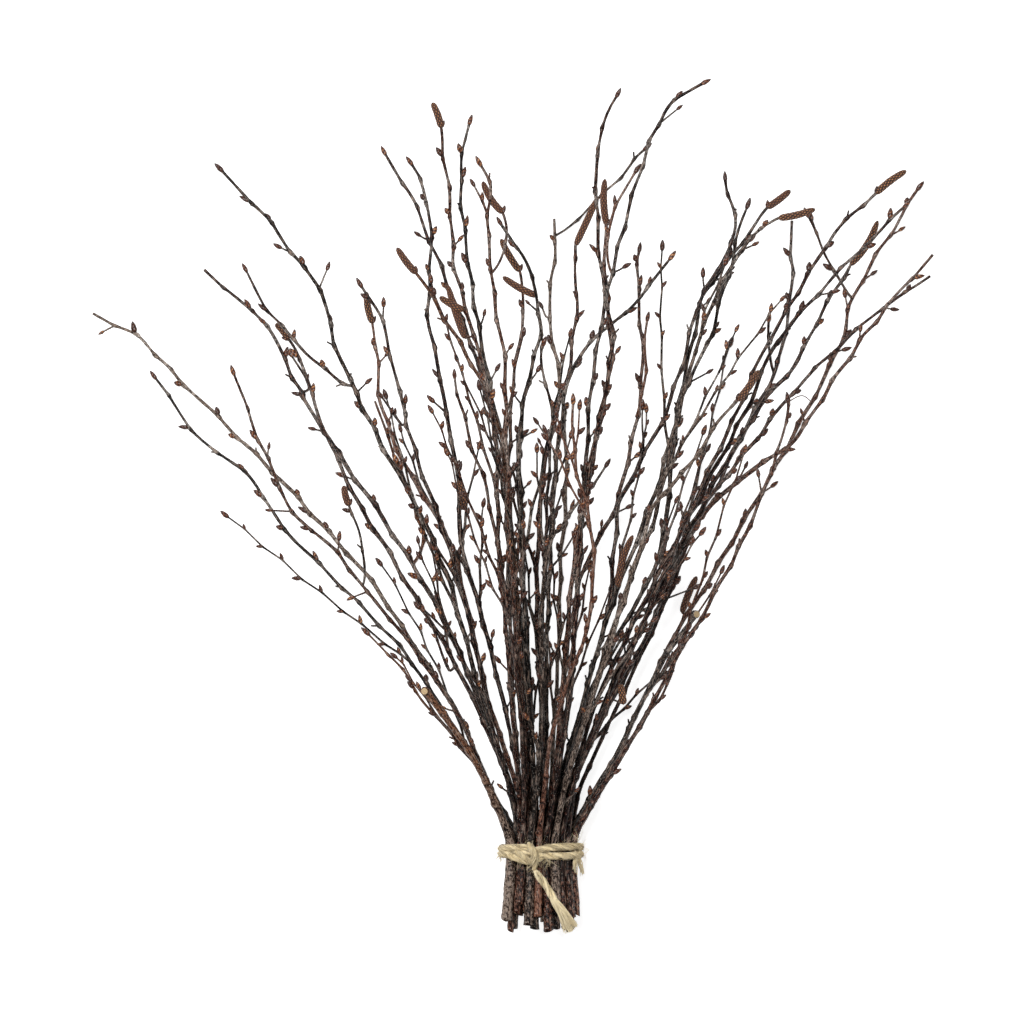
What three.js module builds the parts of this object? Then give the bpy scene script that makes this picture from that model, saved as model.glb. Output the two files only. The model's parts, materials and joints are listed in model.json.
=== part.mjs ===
// A bundle of cut birch twigs, tied near its cut ends with two turns of jute twine and lying on a surface.
// Millimetres, +Z up, +Y from the cut ends towards the tips. The origin is on the surface, under the tie.
import * as THREE from 'three';

const GAP = 0.3; // left between pieces that touch
const TWINE = 3.6; // how thick the twine is
const BAND_LENGTH = 8.4; // how far the two turns reach along the bundle
const PITCH = 4.6; // between neighbouring stems in a row, before the twine draws them together
const ROW_RISE = 4.2; // between the rows, in the same way
const THICK = 2.35; // radius of the stoutest stem in the tie
const THIN = 1.4; // radius of the thinnest one
const TIP = 0.65; // radius where a twig ends in a bud
const CATKIN = 1.75; // radius of a catkin
const STALK = 1.5; // length of its stalk
const TAPER = 1.25; // how much quicker a twig thins at first than near its tip
const SIDES = 6; // of a twig's cross-section
const STRAIGHT = 3; // how far the stems run straight on beyond both edges of the twine
const REACH = 400; // length at which a row has risen by its whole lift
const CURL = 1.1; // how much slower a row rises at first than near its tips
const LIFTS = [0, 17, 35, 55, 77, 100]; // how far each row of the tie has risen by then
const DRIFT = 9; // how much more or less one stem of a row rises
const SAG = 60; // length over which the lowest row comes down to the surface
const BUTT = { shortest: 25, longest: 40, splay: 1.14 }; // the cut ends below the tie
const SHOOT = { rise: 2.2, share: 0.8, thickest: 0.95, tip: 0.9 }; // a side shoot's rise and thickness
// How the twine draws the stems together, for a share of the rounds.
const DRAWING = { rounds: 500, pulled: 0.7, inwards: 0.006, down: 0.012, middle: 14 };
// How the twigs move until none touch: mostly up or down, and pulled home for a share of the rounds.
const SETTLING = { rounds: 150, pulled: 0.7, pull: 0.04, upright: 4 };

const BUD = 'bud';
const CUT = 'cut';
const FLOWER = 'catkin';

// The rows of the tie, the lowest first, and in each row its stems from left to right.
// ends: what is at the tip. along: the points that the stem passes above the tie, [right, up the bundle].
// A shoot's first point is on the stem that it grows from.
const ROWS = [
  [
    {
      ends: BUD,
      along: [[-25, 31], [-38, 55], [-70, 103], [-98, 132], [-126, 159], [-147, 190], [-176, 213],
        [-196, 241]],
    },
    {
      ends: CUT,
      along: [[-21, 52], [-42, 103], [-56, 131], [-77, 165], [-102, 201], [-122, 234], [-138, 266],
        [-157, 284], [-171, 296]],
      shoots: [{
        ends: CUT,
        along: [[-62, 145], [-59, 160], [-64, 176], [-70, 191], [-77, 209], [-84, 229]],
      }],
    },
    {
      ends: BUD,
      along: [[-12, 28], [-14, 78], [-16, 128], [-17, 178], [-25, 223], [-35, 258], [-48, 291],
        [-56, 310], [-66, 334], [-79, 355]],
    },
    {
      ends: CUT,
      along: [[5, 30], [8, 78], [10, 118], [10, 148], [13, 173], [13, 208], [11, 233], [5, 270], [6, 293],
        [8, 312], [7, 322]],
      shoots: [{ ends: BUD, along: [[8, 312], [26, 329], [34, 336], [53, 357]] }],
    },
    {
      ends: CUT,
      along: [[15, 33], [31, 68], [50, 101], [60, 123], [70, 148], [80, 171], [89, 184], [100, 207],
        [110, 226], [121, 247], [125, 268], [128, 283], [128, 301], [128, 321]],
      shoots: [{ ends: BUD, along: [[118, 240], [117, 250], [115, 262], [116, 270]] }],
    },
    {
      ends: BUD,
      along: [[27, 25], [39, 48], [52, 77], [67, 108], [86, 138], [104, 169], [123, 201], [141, 234],
        [154, 261], [158, 280], [166, 295], [183, 322], [192, 337]],
      shoots: [{ ends: BUD, along: [[158, 280], [151, 294], [144, 304], [140, 315], [136, 323]] }],
    },
  ],
  [
    {
      ends: CUT,
      along: [[-26, 34], [-42, 72], [-87, 140], [-136, 194], [-179, 236], [-202, 261], [-226, 273]],
    },
    {
      ends: FLOWER,
      along: [[-17, 40], [-34, 78], [-50, 108], [-67, 135], [-79, 156], [-91, 174], [-105, 203],
        [-114, 226], [-122, 254], [-134, 268]],
    },
    {
      ends: CUT,
      along: [[-12, 30], [-27, 78], [-34, 111], [-44, 155], [-56, 176], [-70, 198], [-81, 226],
        [-83, 258], [-88, 284]],
    },
    {
      ends: BUD,
      along: [[-6, 48], [-10, 108], [-14, 158], [-17, 198], [-24, 228], [-34, 281], [-40, 327],
        [-41, 347], [-36, 369]],
    },
    {
      ends: FLOWER,
      along: [[2, 48], [-1, 98], [-2, 132], [-1, 158], [1, 191], [6, 215], [15, 247], [19, 280],
        [17, 295], [17, 309], [29, 332]],
      shoots: [{ ends: BUD, along: [[-1, 157], [6, 161], [13, 168], [24, 184], [33, 196]] }],
    },
    {
      ends: BUD,
      along: [[8, 33], [11, 78], [14, 108], [21, 143], [39, 176], [45, 202], [51, 233], [52, 251],
        [50, 278], [49, 296], [50, 305]],
      shoots: [{ ends: BUD, along: [[48, 214], [50, 224], [53, 238], [53, 253], [54, 270]] }],
    },
    {
      ends: FLOWER,
      along: [[14, 43], [24, 79], [40, 112], [57, 141], [63, 163], [65, 186], [70, 229], [75, 251],
        [82, 283], [100, 306], [114, 327], [126, 335]],
    },
    {
      ends: CUT,
      along: [[19, 31], [35, 66], [50, 98], [66, 133], [82, 176], [103, 202], [127, 233], [152, 258],
        [175, 278], [188, 285], [197, 292]],
    },
  ],
  [
    { ends: BUD, along: [[-27, 36], [-40, 55], [-50, 66], [-61, 78], [-67, 90], [-75, 99], [-87, 111]] },
    {
      ends: BUD,
      along: [[-13, 28], [-25, 62], [-36, 101], [-46, 138], [-62, 175], [-79, 204], [-93, 232],
        [-103, 255], [-111, 284], [-138, 321], [-160, 344]],
      shoots: [{ ends: BUD, along: [[-93, 232], [-104, 241], [-117, 250], [-138, 275], [-148, 294]] }],
    },
    {
      ends: BUD,
      along: [[-8, 28], [-19, 78], [-29, 117], [-41, 158], [-41, 183], [-47, 226], [-57, 268], [-55, 310],
        [-57, 331], [-65, 348]],
    },
    {
      ends: FLOWER,
      along: [[-5, 38], [-12, 98], [-15, 148], [-16, 198], [-14, 238], [-8, 276], [-10, 295], [-20, 310]],
    },
    {
      ends: BUD,
      along: [[3, 48], [3, 108], [5, 148], [6, 183], [12, 232], [17, 249], [28, 261], [51, 281],
        [65, 300]],
    },
    {
      ends: BUD,
      along: [[9, 28], [22, 78], [35, 125], [39, 177], [49, 195], [63, 222], [73, 251], [79, 277],
        [91, 299], [97, 308], [99, 317], [93, 340]],
    },
    {
      ends: CUT,
      along: [[15, 36], [30, 68], [42, 96], [66, 148], [80, 171], [103, 190], [129, 209], [149, 242],
        [164, 263], [183, 287], [197, 302]],
    },
    { ends: CUT, tip: 1.6, along: [[25, 27], [40, 52], [52, 78], [64, 101], [78, 121]] },
  ],
  [
    {
      ends: BUD,
      along: [[-24, 28], [-41, 70], [-67, 108], [-87, 133], [-104, 154], [-125, 173], [-143, 212],
        [-154, 242]],
      shoots: [{ ends: FLOWER, along: [[-87, 134], [-89, 155], [-91, 165], [-97, 176], [-99, 186]] }],
    },
    {
      ends: FLOWER,
      along: [[-14, 28], [-24, 62], [-36, 118], [-47, 158], [-61, 196], [-69, 223], [-79, 268],
        [-82, 274], [-85, 280], [-90, 286]],
    },
    {
      ends: FLOWER,
      along: [[-7, 28], [-9, 78], [-12, 128], [-16, 178], [-20, 213], [-28, 236], [-46, 266], [-57, 285],
        [-72, 305]],
    },
    { ends: CUT, along: [[-3, 33], [-5, 78], [-7, 118], [-9, 146], [-11, 171], [-12, 203], [-8, 230]] },
    {
      ends: FLOWER,
      along: [[8, 48], [13, 108], [18, 158], [25, 193], [31, 223], [36, 248], [32, 293], [33, 317],
        [32, 339]],
    },
    {
      ends: BUD,
      along: [[12, 43], [22, 78], [30, 108], [40, 138], [50, 163], [60, 188], [66, 213], [75, 241],
        [86, 261], [90, 279], [97, 301], [99, 314], [103, 325]],
    },
    {
      ends: FLOWER,
      along: [[13, 30], [25, 58], [37, 88], [50, 113], [71, 156], [92, 196], [111, 228], [128, 247],
        [141, 274], [155, 297], [168, 318]],
    },
    {
      ends: BUD,
      along: [[26, 25], [36, 41], [54, 71], [70, 102], [82, 121], [102, 159], [113, 185], [121, 209],
        [124, 228]],
    },
  ],
  [
    { ends: CUT, thick: 2.5, tip: 2.3, along: [[-25, 31], [-35, 51], [-46, 66], [-58, 83]] },
    {
      ends: FLOWER,
      along: [[-10, 28], [-14, 68], [-17, 109], [-21, 155], [-22, 208], [-29, 249], [-37, 274],
        [-44, 297], [-45, 328], [-48, 347], [-49, 364], [-54, 376]],
    },
    {
      ends: BUD,
      along: [[-8, 58], [-13, 118], [-16, 168], [-17, 208], [-18, 249], [-24, 285], [-27, 317],
        [-24, 334], [-30, 345]],
      shoots: [{ ends: FLOWER, along: [[-23, 289], [-18, 302], [-16, 313], [-19, 323], [-29, 337]] }],
    },
    {
      ends: BUD,
      along: [[-4, 48], [-8, 108], [-10, 168], [-11, 208], [-8, 232], [0, 261], [-1, 278], [-8, 300],
        [-20, 316]],
    },
    { ends: BUD, along: [[0, 48], [0, 98], [2, 148], [4, 193], [6, 219], [4, 233], [0, 248], [1, 256]] },
    {
      ends: BUD,
      along: [[9, 38], [14, 78], [17, 108], [19, 138], [22, 188], [25, 235], [30, 266], [36, 295],
        [42, 318], [54, 357], [63, 375], [80, 385]],
      shoots: [{ ends: BUD, along: [[33, 286], [33, 307], [37, 324], [47, 342]] }],
    },
    {
      ends: FLOWER,
      along: [[13, 38], [25, 78], [34, 108], [45, 140], [57, 168], [68, 218], [78, 256], [87, 281],
        [102, 308], [119, 320], [136, 323]],
    },
    {
      ends: BUD,
      along: [[17, 43], [28, 78], [40, 103], [52, 128], [75, 171], [97, 213], [105, 229], [116, 256],
        [143, 287], [169, 313], [180, 324]],
    },
  ],
  [
    {
      ends: BUD,
      along: [[-8, 30], [-10, 68], [-14, 108], [-19, 140], [-27, 185], [-32, 198], [-40, 225], [-43, 240]],
    },
    { ends: BUD, along: [[-1, 33], [1, 78], [0, 128], [6, 165], [8, 201], [9, 214]] },
    {
      ends: BUD,
      along: [[4, 58], [13, 86], [24, 115], [27, 148], [24, 173], [19, 188], [15, 215], [16, 227]],
    },
    {
      ends: BUD,
      along: [[8, 38], [15, 78], [18, 128], [20, 165], [26, 204], [33, 236], [36, 258], [29, 297],
        [27, 328], [28, 351], [33, 370], [37, 377]],
    },
    {
      ends: FLOWER,
      along: [[12, 33], [24, 73], [34, 103], [45, 140], [57, 178], [73, 194], [89, 219], [98, 228],
        [108, 243]],
    },
    {
      ends: FLOWER,
      along: [[16, 33], [31, 68], [46, 103], [60, 138], [76, 176], [98, 223], [111, 254], [127, 281],
        [144, 310], [161, 327], [180, 341]],
    },
  ],
];

// Where the long end of the twine lies: off the knot, over the lower turn and along the cut ends.
const TAIL = [[-3.2, -8, 29.6], [-1, -11, 28.6], [2.2, -15.2, 28], [5.4, -20.6, 27.9], [8.6, -26.4, 27.6],
  [11.8, -32.4, 27], [14.8, -39.4, 26]];
// The short end hangs from the right-hand side of the tie.
const SHORT_END = [[20.8, -6, 17], [21.8, -9, 14.5], [22.6, -13, 12]];
const KNOT = { at: [-4.6, -3, 32.1], size: [4.4, 4.6, 2.1] };

const BARK = new THREE.MeshStandardMaterial({ color: '#4a3029', roughness: 0.6, metalness: 0 });
const OLD_BARK = new THREE.MeshStandardMaterial({ color: '#54463e', roughness: 0.7, metalness: 0 });
const JUTE = new THREE.MeshStandardMaterial({ color: '#d8c49a', roughness: 0.95, metalness: 0 });

let seed = 7;
// The next of a fixed run of numbers between low and high.
function pick(low, high) {
  seed = (seed * 16807) % 2147483647;
  return low + ((high - low) * seed) / 2147483647;
}

const vector = ([x, y, z]) => new THREE.Vector3(x, y, z);

// Lengths along a line up to each of its points.
function lengths(points) {
  const sums = [0];
  for (let i = 1; i < points.length; i++) sums.push(sums[i - 1] + points[i].distanceTo(points[i - 1]));
  return sums;
}

// Gives a catkin, which is the last stretch of a twig, a short stalk before it.
function addStalk(points, ends) {
  if (ends !== FLOWER) return;
  const [before, start] = points.slice(-3);
  points.splice(-2, 0, start.clone().lerp(before, STALK / start.distanceTo(before)));
}

// A twig thins from one of its points to its tip, quickest at first. A catkin is thicker than its twig.
function radii(points, base, tip, ends, from = 0) {
  const along = lengths(points);
  const [start, end] = [along[from], along[along.length - 1]];
  const sizes = along.map((length) => {
    const left = Math.min(1, (end - length) / (end - start));
    return tip + (base - tip) * left ** TAPER;
  });
  if (ends === FLOWER) sizes.splice(-2, 2, CATKIN, CATKIN * 0.65);
  return sizes;
}

// Moves two round things apart, each by half, if they are closer than the gap.
function separate(a, b) {
  const [x, z] = [b.x - a.x, b.z - a.z];
  const far = Math.hypot(x, z);
  const short = (a.radius + b.radius + GAP - far) / 2 / far;
  if (short <= 0) return;
  a.x -= x * short;
  a.z -= z * short;
  b.x += x * short;
  b.z += z * short;
}

// Where each stem crosses the tie: the rows of stems, drawn together until they rest on each other.
// The lowest row stays in line, so that the tie lies flat.
function drawTogether(rows) {
  const slots = rows.flatMap((row, level) => row.map((plan, place) => {
    const x = (place - (row.length - 1) / 2) * PITCH + (level % 2 ? PITCH / 4 : -PITCH / 4);
    const radius = plan.thick ?? pick(THIN, THICK * 0.9);
    return { plan, level, radius, x, z: TWINE + GAP + THICK + level * ROW_RISE };
  }));
  for (let round = 0; round < DRAWING.rounds; round++) {
    const isDrawn = round < DRAWING.rounds * DRAWING.pulled;
    for (const slot of slots) {
      if (isDrawn) {
        slot.x *= 1 - DRAWING.inwards;
        slot.z -= (slot.z - DRAWING.middle) * DRAWING.down;
      }
      const lowest = TWINE + GAP + slot.radius;
      slot.z = slot.level ? Math.max(slot.z, lowest) : lowest;
    }
    slots.forEach((a, i) => slots.slice(i + 1).forEach((b) => separate(a, b)));
  }
  for (const slot of slots.filter(({ level }) => !level)) slot.z = TWINE + GAP + slot.radius;
  return slots;
}

// A stem runs straight through the tie in its slot, and rises as it fans out, more if its row is higher.
function makeStem({ plan, level, radius, x, z }) {
  const butt = -(plan.butt ?? pick(BUTT.shortest, BUTT.longest));
  const middle = DRAWING.middle;
  const splayed = [x * BUTT.splay + pick(-0.5, 0.5), middle + (z - middle) * BUTT.splay + pick(-0.4, 0.4)];
  const points = [
    new THREE.Vector3(splayed[0], butt, splayed[1]),
    new THREE.Vector3(x, -BAND_LENGTH / 2 - STRAIGHT, z),
    new THREE.Vector3(x, BAND_LENGTH / 2 + STRAIGHT, z),
  ];
  const fixed = points.length;
  const drift = level ? pick(-DRIFT, DRIFT) : 0;
  let gone = 0;
  for (const [right, up] of plan.along) {
    const last = points[points.length - 1];
    gone += Math.hypot(right - last.x, up - last.y);
    const share = (gone / REACH) ** CURL;
    const start = level ? z : Math.max(0, 1 - gone / SAG) * z;
    points.push(new THREE.Vector3(right, up, start + (LIFTS[level] + drift) * share));
  }
  addStalk(points, plan.ends);
  const tip = plan.tip ?? TIP;
  const sizes = radii(points, radius, tip, plan.ends, fixed - 1);
  return { points, fixed, radii: sizes, home: points.map((p) => p.clone()) };
}

// A shoot starts beside its stem and rises a little from it.
function makeShoot(plan, stem) {
  const [right, up] = plan.along[0];
  const near = stem.points.reduce((best, p, i) => {
    const far = Math.hypot(p.x - right, p.y - up);
    return far < best.far ? { far, i } : best;
  }, { far: Infinity, i: 0 });
  const z = stem.points[near.i].z;
  const points = plan.along.map(([x, y], i) => new THREE.Vector3(x, y, z + SHOOT.rise * i));
  addStalk(points, plan.ends);
  const base = Math.min(SHOOT.thickest, stem.radii[near.i] * SHOOT.share);
  const made = { points, fixed: 0, radii: radii(points, base, TIP * SHOOT.tip, plan.ends), stem };
  made.home = points.map((p) => p.clone());
  return made;
}

// The closest points of two pieces of line, as shares of each.
function closest(a, b, c, d) {
  const u = b.clone().sub(a);
  const v = d.clone().sub(c);
  const w = a.clone().sub(c);
  const [uu, uv, vv, uw, vw] = [u.dot(u), u.dot(v), v.dot(v), u.dot(w), v.dot(w)];
  const bottom = uu * vv - uv * uv;
  const clamp = (x) => Math.min(1, Math.max(0, x));
  let s = bottom > 1e-9 ? clamp((uv * vw - vv * uw) / bottom) : 0;
  const t = clamp((uv * s + vw) / vv);
  s = clamp((uv * t - uw) / uu);
  return [s, t];
}

const at = (twig, i, share) => twig.points[i].clone().lerp(twig.points[i + 1], share);
const thick = (twig, i, share) => twig.radii[i] * (1 - share) + twig.radii[i + 1] * share;

// Moves the two ends of a piece of line so that the point at share moves by push. Points in the tie stay.
function shove(twig, i, share, push) {
  const weights = [1 - share, share];
  const total = weights[0] ** 2 + weights[1] ** 2;
  weights.forEach((weight, k) => {
    const isHeld = twig.isStill || (i + k > 0 && i + k < twig.fixed);
    if (!isHeld) twig.points[i + k].addScaledVector(push, weight / total);
  });
}

// Pushes two twigs apart wherever they come closer than the gap. A shoot's foot stays by its stem.
function part(a, b) {
  for (let i = 0; i < a.points.length - 1; i++) {
    for (let j = b.stem === a ? 1 : 0; j < b.points.length - 1; j++) {
      const reach = a.points[i].distanceTo(a.points[i + 1]) + b.points[j].distanceTo(b.points[j + 1]) + 8;
      if (a.points[i].distanceTo(b.points[j]) > reach) continue;
      const [s, t] = closest(a.points[i], a.points[i + 1], b.points[j], b.points[j + 1]);
      const between = at(a, i, s).sub(at(b, j, t));
      const wanted = thick(a, i, s) + thick(b, j, t) + GAP;
      const far = between.length();
      if (far >= wanted) continue;
      const way = new THREE.Vector3(between.x, between.y, between.z * SETTLING.upright).normalize();
      const gain = Math.max(0.4, way.dot(between) / Math.max(far, 1e-6));
      const push = way.multiplyScalar((wanted - far) / gain / 2);
      shove(a, i, s, push);
      shove(b, j, t, push.clone().negate());
    }
  }
}

// The point of a stem nearest to a place, seen from above, with the stem's direction there.
function nearestOn(stem, place) {
  let best = { far: Infinity };
  for (let i = 2; i < stem.points.length - 1; i++) {
    const [a, b] = [stem.points[i], stem.points[i + 1]];
    const way = b.clone().sub(a);
    const share = Math.min(1, Math.max(0, place.clone().sub(a).dot(way) / way.lengthSq()));
    const point = at(stem, i, share);
    const far = Math.hypot(point.x - place.x, point.y - place.y);
    if (far < best.far) best = { far, point, radius: thick(stem, i, share), run: way.normalize() };
  }
  return best;
}

// Keeps a shoot's foot on the side of its stem, so far out that its slanting end clears the bark.
function footOf(shoot) {
  const foot = nearestOn(shoot.stem, shoot.home[0]);
  const way = shoot.points[1].clone().sub(foot.point).normalize();
  const alongStem = foot.run.clone().multiplyScalar(way.dot(foot.run));
  const side = way.clone().sub(alongStem);
  const slope = Math.max(0.3, side.length());
  side.normalize();
  const slant = Math.sqrt(1 - slope * slope);
  const clear = foot.radius + 1.5 * GAP + shoot.radii[0] * slant;
  shoot.points[0].copy(foot.point).addScaledVector(side, clear)
    .addScaledVector(alongStem.normalize(), clear * slant / slope);
}

// Lets the twigs settle: each is pulled back to its own place and pushed off its neighbours and the surface.
function settle(twigs) {
  for (let round = 0; round < SETTLING.rounds; round++) {
    const pull = round < SETTLING.rounds * SETTLING.pulled ? SETTLING.pull : 0;
    for (const twig of twigs) {
      if (twig.isStill) continue;
      twig.points.forEach((p, i) => p.lerp(twig.home[i], pull));
      if (twig.stem) footOf(twig);
    }
    twigs.forEach((a, i) => twigs.slice(i + 1).forEach((b) => part(a, b)));
    for (const twig of twigs) {
      twig.points.forEach((p, i) => {
        p.z = Math.max(p.z, twig.radii[i]);
      });
    }
  }
}

// A twig is turned as a straight rod, pointed on the axis at both ends, and then bent along its line.
function makeTwig(name, { points, radii: sizes }, material, sides = SIDES) {
  const along = lengths(points);
  const last = points.length - 1;
  const rings = [0, ...points.keys(), last];
  const profile = rings.map((ring, k) => {
    const isPole = k === 0 || k === rings.length - 1;
    return new THREE.Vector2(isPole ? 0 : sizes[ring], along[ring]);
  });
  const geometry = new THREE.LatheGeometry(profile, sides);
  const place = geometry.getAttribute('position');
  const tangents = points.map((p, i) => points[Math.min(i + 1, last)].clone()
    .sub(points[Math.max(i - 1, 0)]).normalize());
  const normals = [];
  let normal = new THREE.Vector3(1, 0, 0);
  for (const tangent of tangents) {
    normal = normal.clone().addScaledVector(tangent, -normal.dot(tangent)).normalize();
    normals.push(normal);
  }
  for (let v = 0; v < place.count; v++) {
    const ring = rings[v % rings.length];
    const across = normals[ring].clone().cross(tangents[ring]);
    const p = points[ring].clone()
      .addScaledVector(normals[ring], place.getX(v))
      .addScaledVector(across, place.getZ(v));
    place.setXYZ(v, p.x, p.y, p.z);
  }
  return makeMesh(name, geometry, material);
}

function makeMesh(name, geometry, material) {
  const mesh = new THREE.Mesh(geometry, material);
  mesh.name = name;
  return mesh;
}

// The outline that a taut string takes round the stems in the tie, clear of them by a margin.
function outlineRound(stems, margin) {
  const dots = [];
  for (const { points, radii: sizes } of stems) {
    for (let turn = 0; turn < 24; turn++) {
      const angle = (turn / 24) * 2 * Math.PI;
      const radius = sizes[1] + margin;
      const across = points[1].x + radius * Math.cos(angle);
      dots.push(new THREE.Vector2(across, points[1].z + radius * Math.sin(angle)));
    }
  }
  dots.sort((a, b) => a.x - b.x || a.y - b.y);
  const half = (list) => {
    const chain = [];
    for (const p of list) {
      while (chain.length > 1) {
        const [a, b] = chain.slice(-2);
        if ((b.x - a.x) * (p.y - a.y) - (b.y - a.y) * (p.x - a.x) > 0.02) break;
        chain.pop();
      }
      chain.push(p);
    }
    return chain.slice(0, -1);
  };
  return [...half(dots), ...half(dots.reverse())];
}

function makeTwineTurns(stems) {
  const ring = new THREE.Shape(outlineRound(stems, GAP + TWINE));
  ring.holes.push(new THREE.Path(outlineRound(stems, GAP)));
  const settings = { depth: BAND_LENGTH, bevelEnabled: false, curveSegments: 1 };
  const geometry = new THREE.ExtrudeGeometry(ring, settings);
  // The shape's own up becomes +Z and its depth runs along the bundle.
  geometry.rotateX(Math.PI / 2).translate(0, BAND_LENGTH / 2, 0);
  return makeMesh('twine_turns', geometry, JUTE);
}

function makeTwineKnot() {
  const geometry = new THREE.SphereGeometry(1, 12, 8);
  geometry.scale(...KNOT.size).translate(...KNOT.at);
  return makeMesh('twine_knot', geometry, JUTE);
}

// A loose end of the twine.
function makeTwineEnd(name, route, radius, steps) {
  const curve = new THREE.CatmullRomCurve3(route.map(vector));
  const section = new THREE.Shape();
  for (let side = 0; side < 8; side++) {
    const angle = (side / 8) * 2 * Math.PI;
    section[side ? 'lineTo' : 'moveTo'](radius * Math.cos(angle), radius * Math.sin(angle));
  }
  const geometry = new THREE.ExtrudeGeometry(section, { steps, bevelEnabled: false, extrudePath: curve });
  return makeMesh(name, geometry, JUTE);
}

const stems = [];
const shoots = [];
for (const slot of drawTogether(ROWS)) {
  const stem = makeStem(slot);
  stem.name = `twig_${String(stems.length + 1).padStart(2, '0')}`;
  stems.push(stem);
  for (const plan of slot.plan.shoots ?? []) {
    const shoot = makeShoot(plan, stem);
    shoot.name = `${stem.name}_shoot`;
    shoots.push(shoot);
  }
}
const ends = [[TAIL, TWINE / 2], [SHORT_END, TWINE / 3]].map(([route, radius]) => (
  { points: route.map(vector), radii: route.map(() => radius), fixed: 0, isStill: true }
));
settle([...stems, ...shoots, ...ends]);

const bundle = new THREE.Group();
for (const [i, twig] of [...stems, ...shoots].entries()) {
  bundle.add(makeTwig(twig.name, twig, i % 3 ? BARK : OLD_BARK, twig.stem ? SIDES - 1 : SIDES));
}
bundle.add(makeTwineTurns(stems), makeTwineKnot());
bundle.add(makeTwineEnd('twine_tail', TAIL, TWINE / 2, 16));
bundle.add(makeTwineEnd('twine_short_end', SHORT_END, TWINE / 3, 6));

export default bundle;
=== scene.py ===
"""Looks of a tied bundle of birch twigs: bark, buds, catkins, cut ends and jute twine."""

import json
import math
import random
from functools import partial

import bmesh
import bpy
import numpy as np
from bpy.props import FloatProperty, FloatVectorProperty, IntProperty, PointerProperty
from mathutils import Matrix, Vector
from mathutils.geometry import convex_hull_2d, interpolate_bezier


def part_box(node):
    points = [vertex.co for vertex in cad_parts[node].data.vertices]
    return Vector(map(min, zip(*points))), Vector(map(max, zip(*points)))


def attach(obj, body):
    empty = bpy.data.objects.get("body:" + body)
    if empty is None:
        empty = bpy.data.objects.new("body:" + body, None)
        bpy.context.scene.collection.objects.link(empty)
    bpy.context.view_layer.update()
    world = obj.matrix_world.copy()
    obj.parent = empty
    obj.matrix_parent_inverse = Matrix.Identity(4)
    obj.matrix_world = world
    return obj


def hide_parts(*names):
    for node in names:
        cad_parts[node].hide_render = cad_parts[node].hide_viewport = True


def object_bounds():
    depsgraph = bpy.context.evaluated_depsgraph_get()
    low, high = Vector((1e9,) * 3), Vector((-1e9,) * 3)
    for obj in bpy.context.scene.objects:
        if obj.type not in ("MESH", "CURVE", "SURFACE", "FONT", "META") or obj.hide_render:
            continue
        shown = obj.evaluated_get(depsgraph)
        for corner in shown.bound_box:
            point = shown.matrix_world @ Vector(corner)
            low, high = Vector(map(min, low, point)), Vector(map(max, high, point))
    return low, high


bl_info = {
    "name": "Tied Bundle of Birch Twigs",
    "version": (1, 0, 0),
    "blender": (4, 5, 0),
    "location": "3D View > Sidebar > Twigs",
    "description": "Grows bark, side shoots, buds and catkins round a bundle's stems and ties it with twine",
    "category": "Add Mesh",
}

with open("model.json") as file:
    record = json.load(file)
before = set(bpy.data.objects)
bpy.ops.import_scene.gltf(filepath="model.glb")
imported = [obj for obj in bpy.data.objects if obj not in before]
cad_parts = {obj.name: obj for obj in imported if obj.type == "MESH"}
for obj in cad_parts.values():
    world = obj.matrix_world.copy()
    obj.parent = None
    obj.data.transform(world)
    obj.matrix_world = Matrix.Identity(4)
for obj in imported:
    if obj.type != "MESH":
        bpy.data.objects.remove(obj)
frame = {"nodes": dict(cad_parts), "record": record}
CAD_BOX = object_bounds()

MM = 0.001
CM = 10 * MM
# Points of one piece that are nearer than this are one point, and likewise for a solid of the frame.
SAME_POINT = 1e-7
SAME_SOLID_POINT = 1e-6
BODY = "root"
TWIGS = sorted(name for name in frame["nodes"] if name.startswith("twig_"))
SLOT_OF = {part["node"]: part["material_slot"] for part in frame["record"]["subparts"]}
UP = np.array([0.0, 0.0, 1.0])
# A line that starts this nearly along its upward way, as a cosine, takes another one.
NEARLY_ALONG = 0.95

# Twigs whose tips were cut or broken off. The others end in a bud or a catkin.
CUT_TIPS = {"twig_02", "twig_02_shoot", "twig_04", "twig_05", "twig_07", "twig_14", "twig_21", "twig_22",
            "twig_26", "twig_31"}
# How thick the twigs are beside their solids: [up the bundle in millimetres, share].
GIRTH = [(-40, 1.18), (-8, 1.12), (0, 0.98), (26, 0.8), (60, 0.72), (110, 0.82), (170, 1.04),
         (380, 1.24)]
# Where the bark stops and a catkin starts on twigs whose solid doesn't say so: [right, up] in millimetres.
CATKIN_FEET = {"twig_08": [-125.5, 261.5], "twig_09": [-78.5, 270], "twig_25": [-64.5, 291.5],
               "twig_44": [166.3, 329.3]}
# The tip of this twig's solid is thick, but no catkin grows there.
NO_CATKIN = {"twig_24"}
# Where a solid gets this many times thicker towards its tip, a catkin starts.
CATKIN_STEP = 1.5
# Twigs with smooth orange-brown bark, and the tones that give it.
RUSTY = {"twig_31": 0.995, "twig_15": 0.852}
# Half-widths of a bud and a catkin from foot to tip: [share of the length, share of the half-width].
BUD_OUTLINE = [(0, 0.5), (0.1, 0.76), (0.26, 0.96), (0.45, 1.0), (0.66, 0.86), (0.85, 0.58), (1, 0.2)]
CATKIN_OUTLINE = [(0, 0.35), (0.04, 0.75), (0.14, 0.97), (0.5, 1.0), (0.85, 0.86), (0.95, 0.62), (1, 0.22)]

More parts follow.
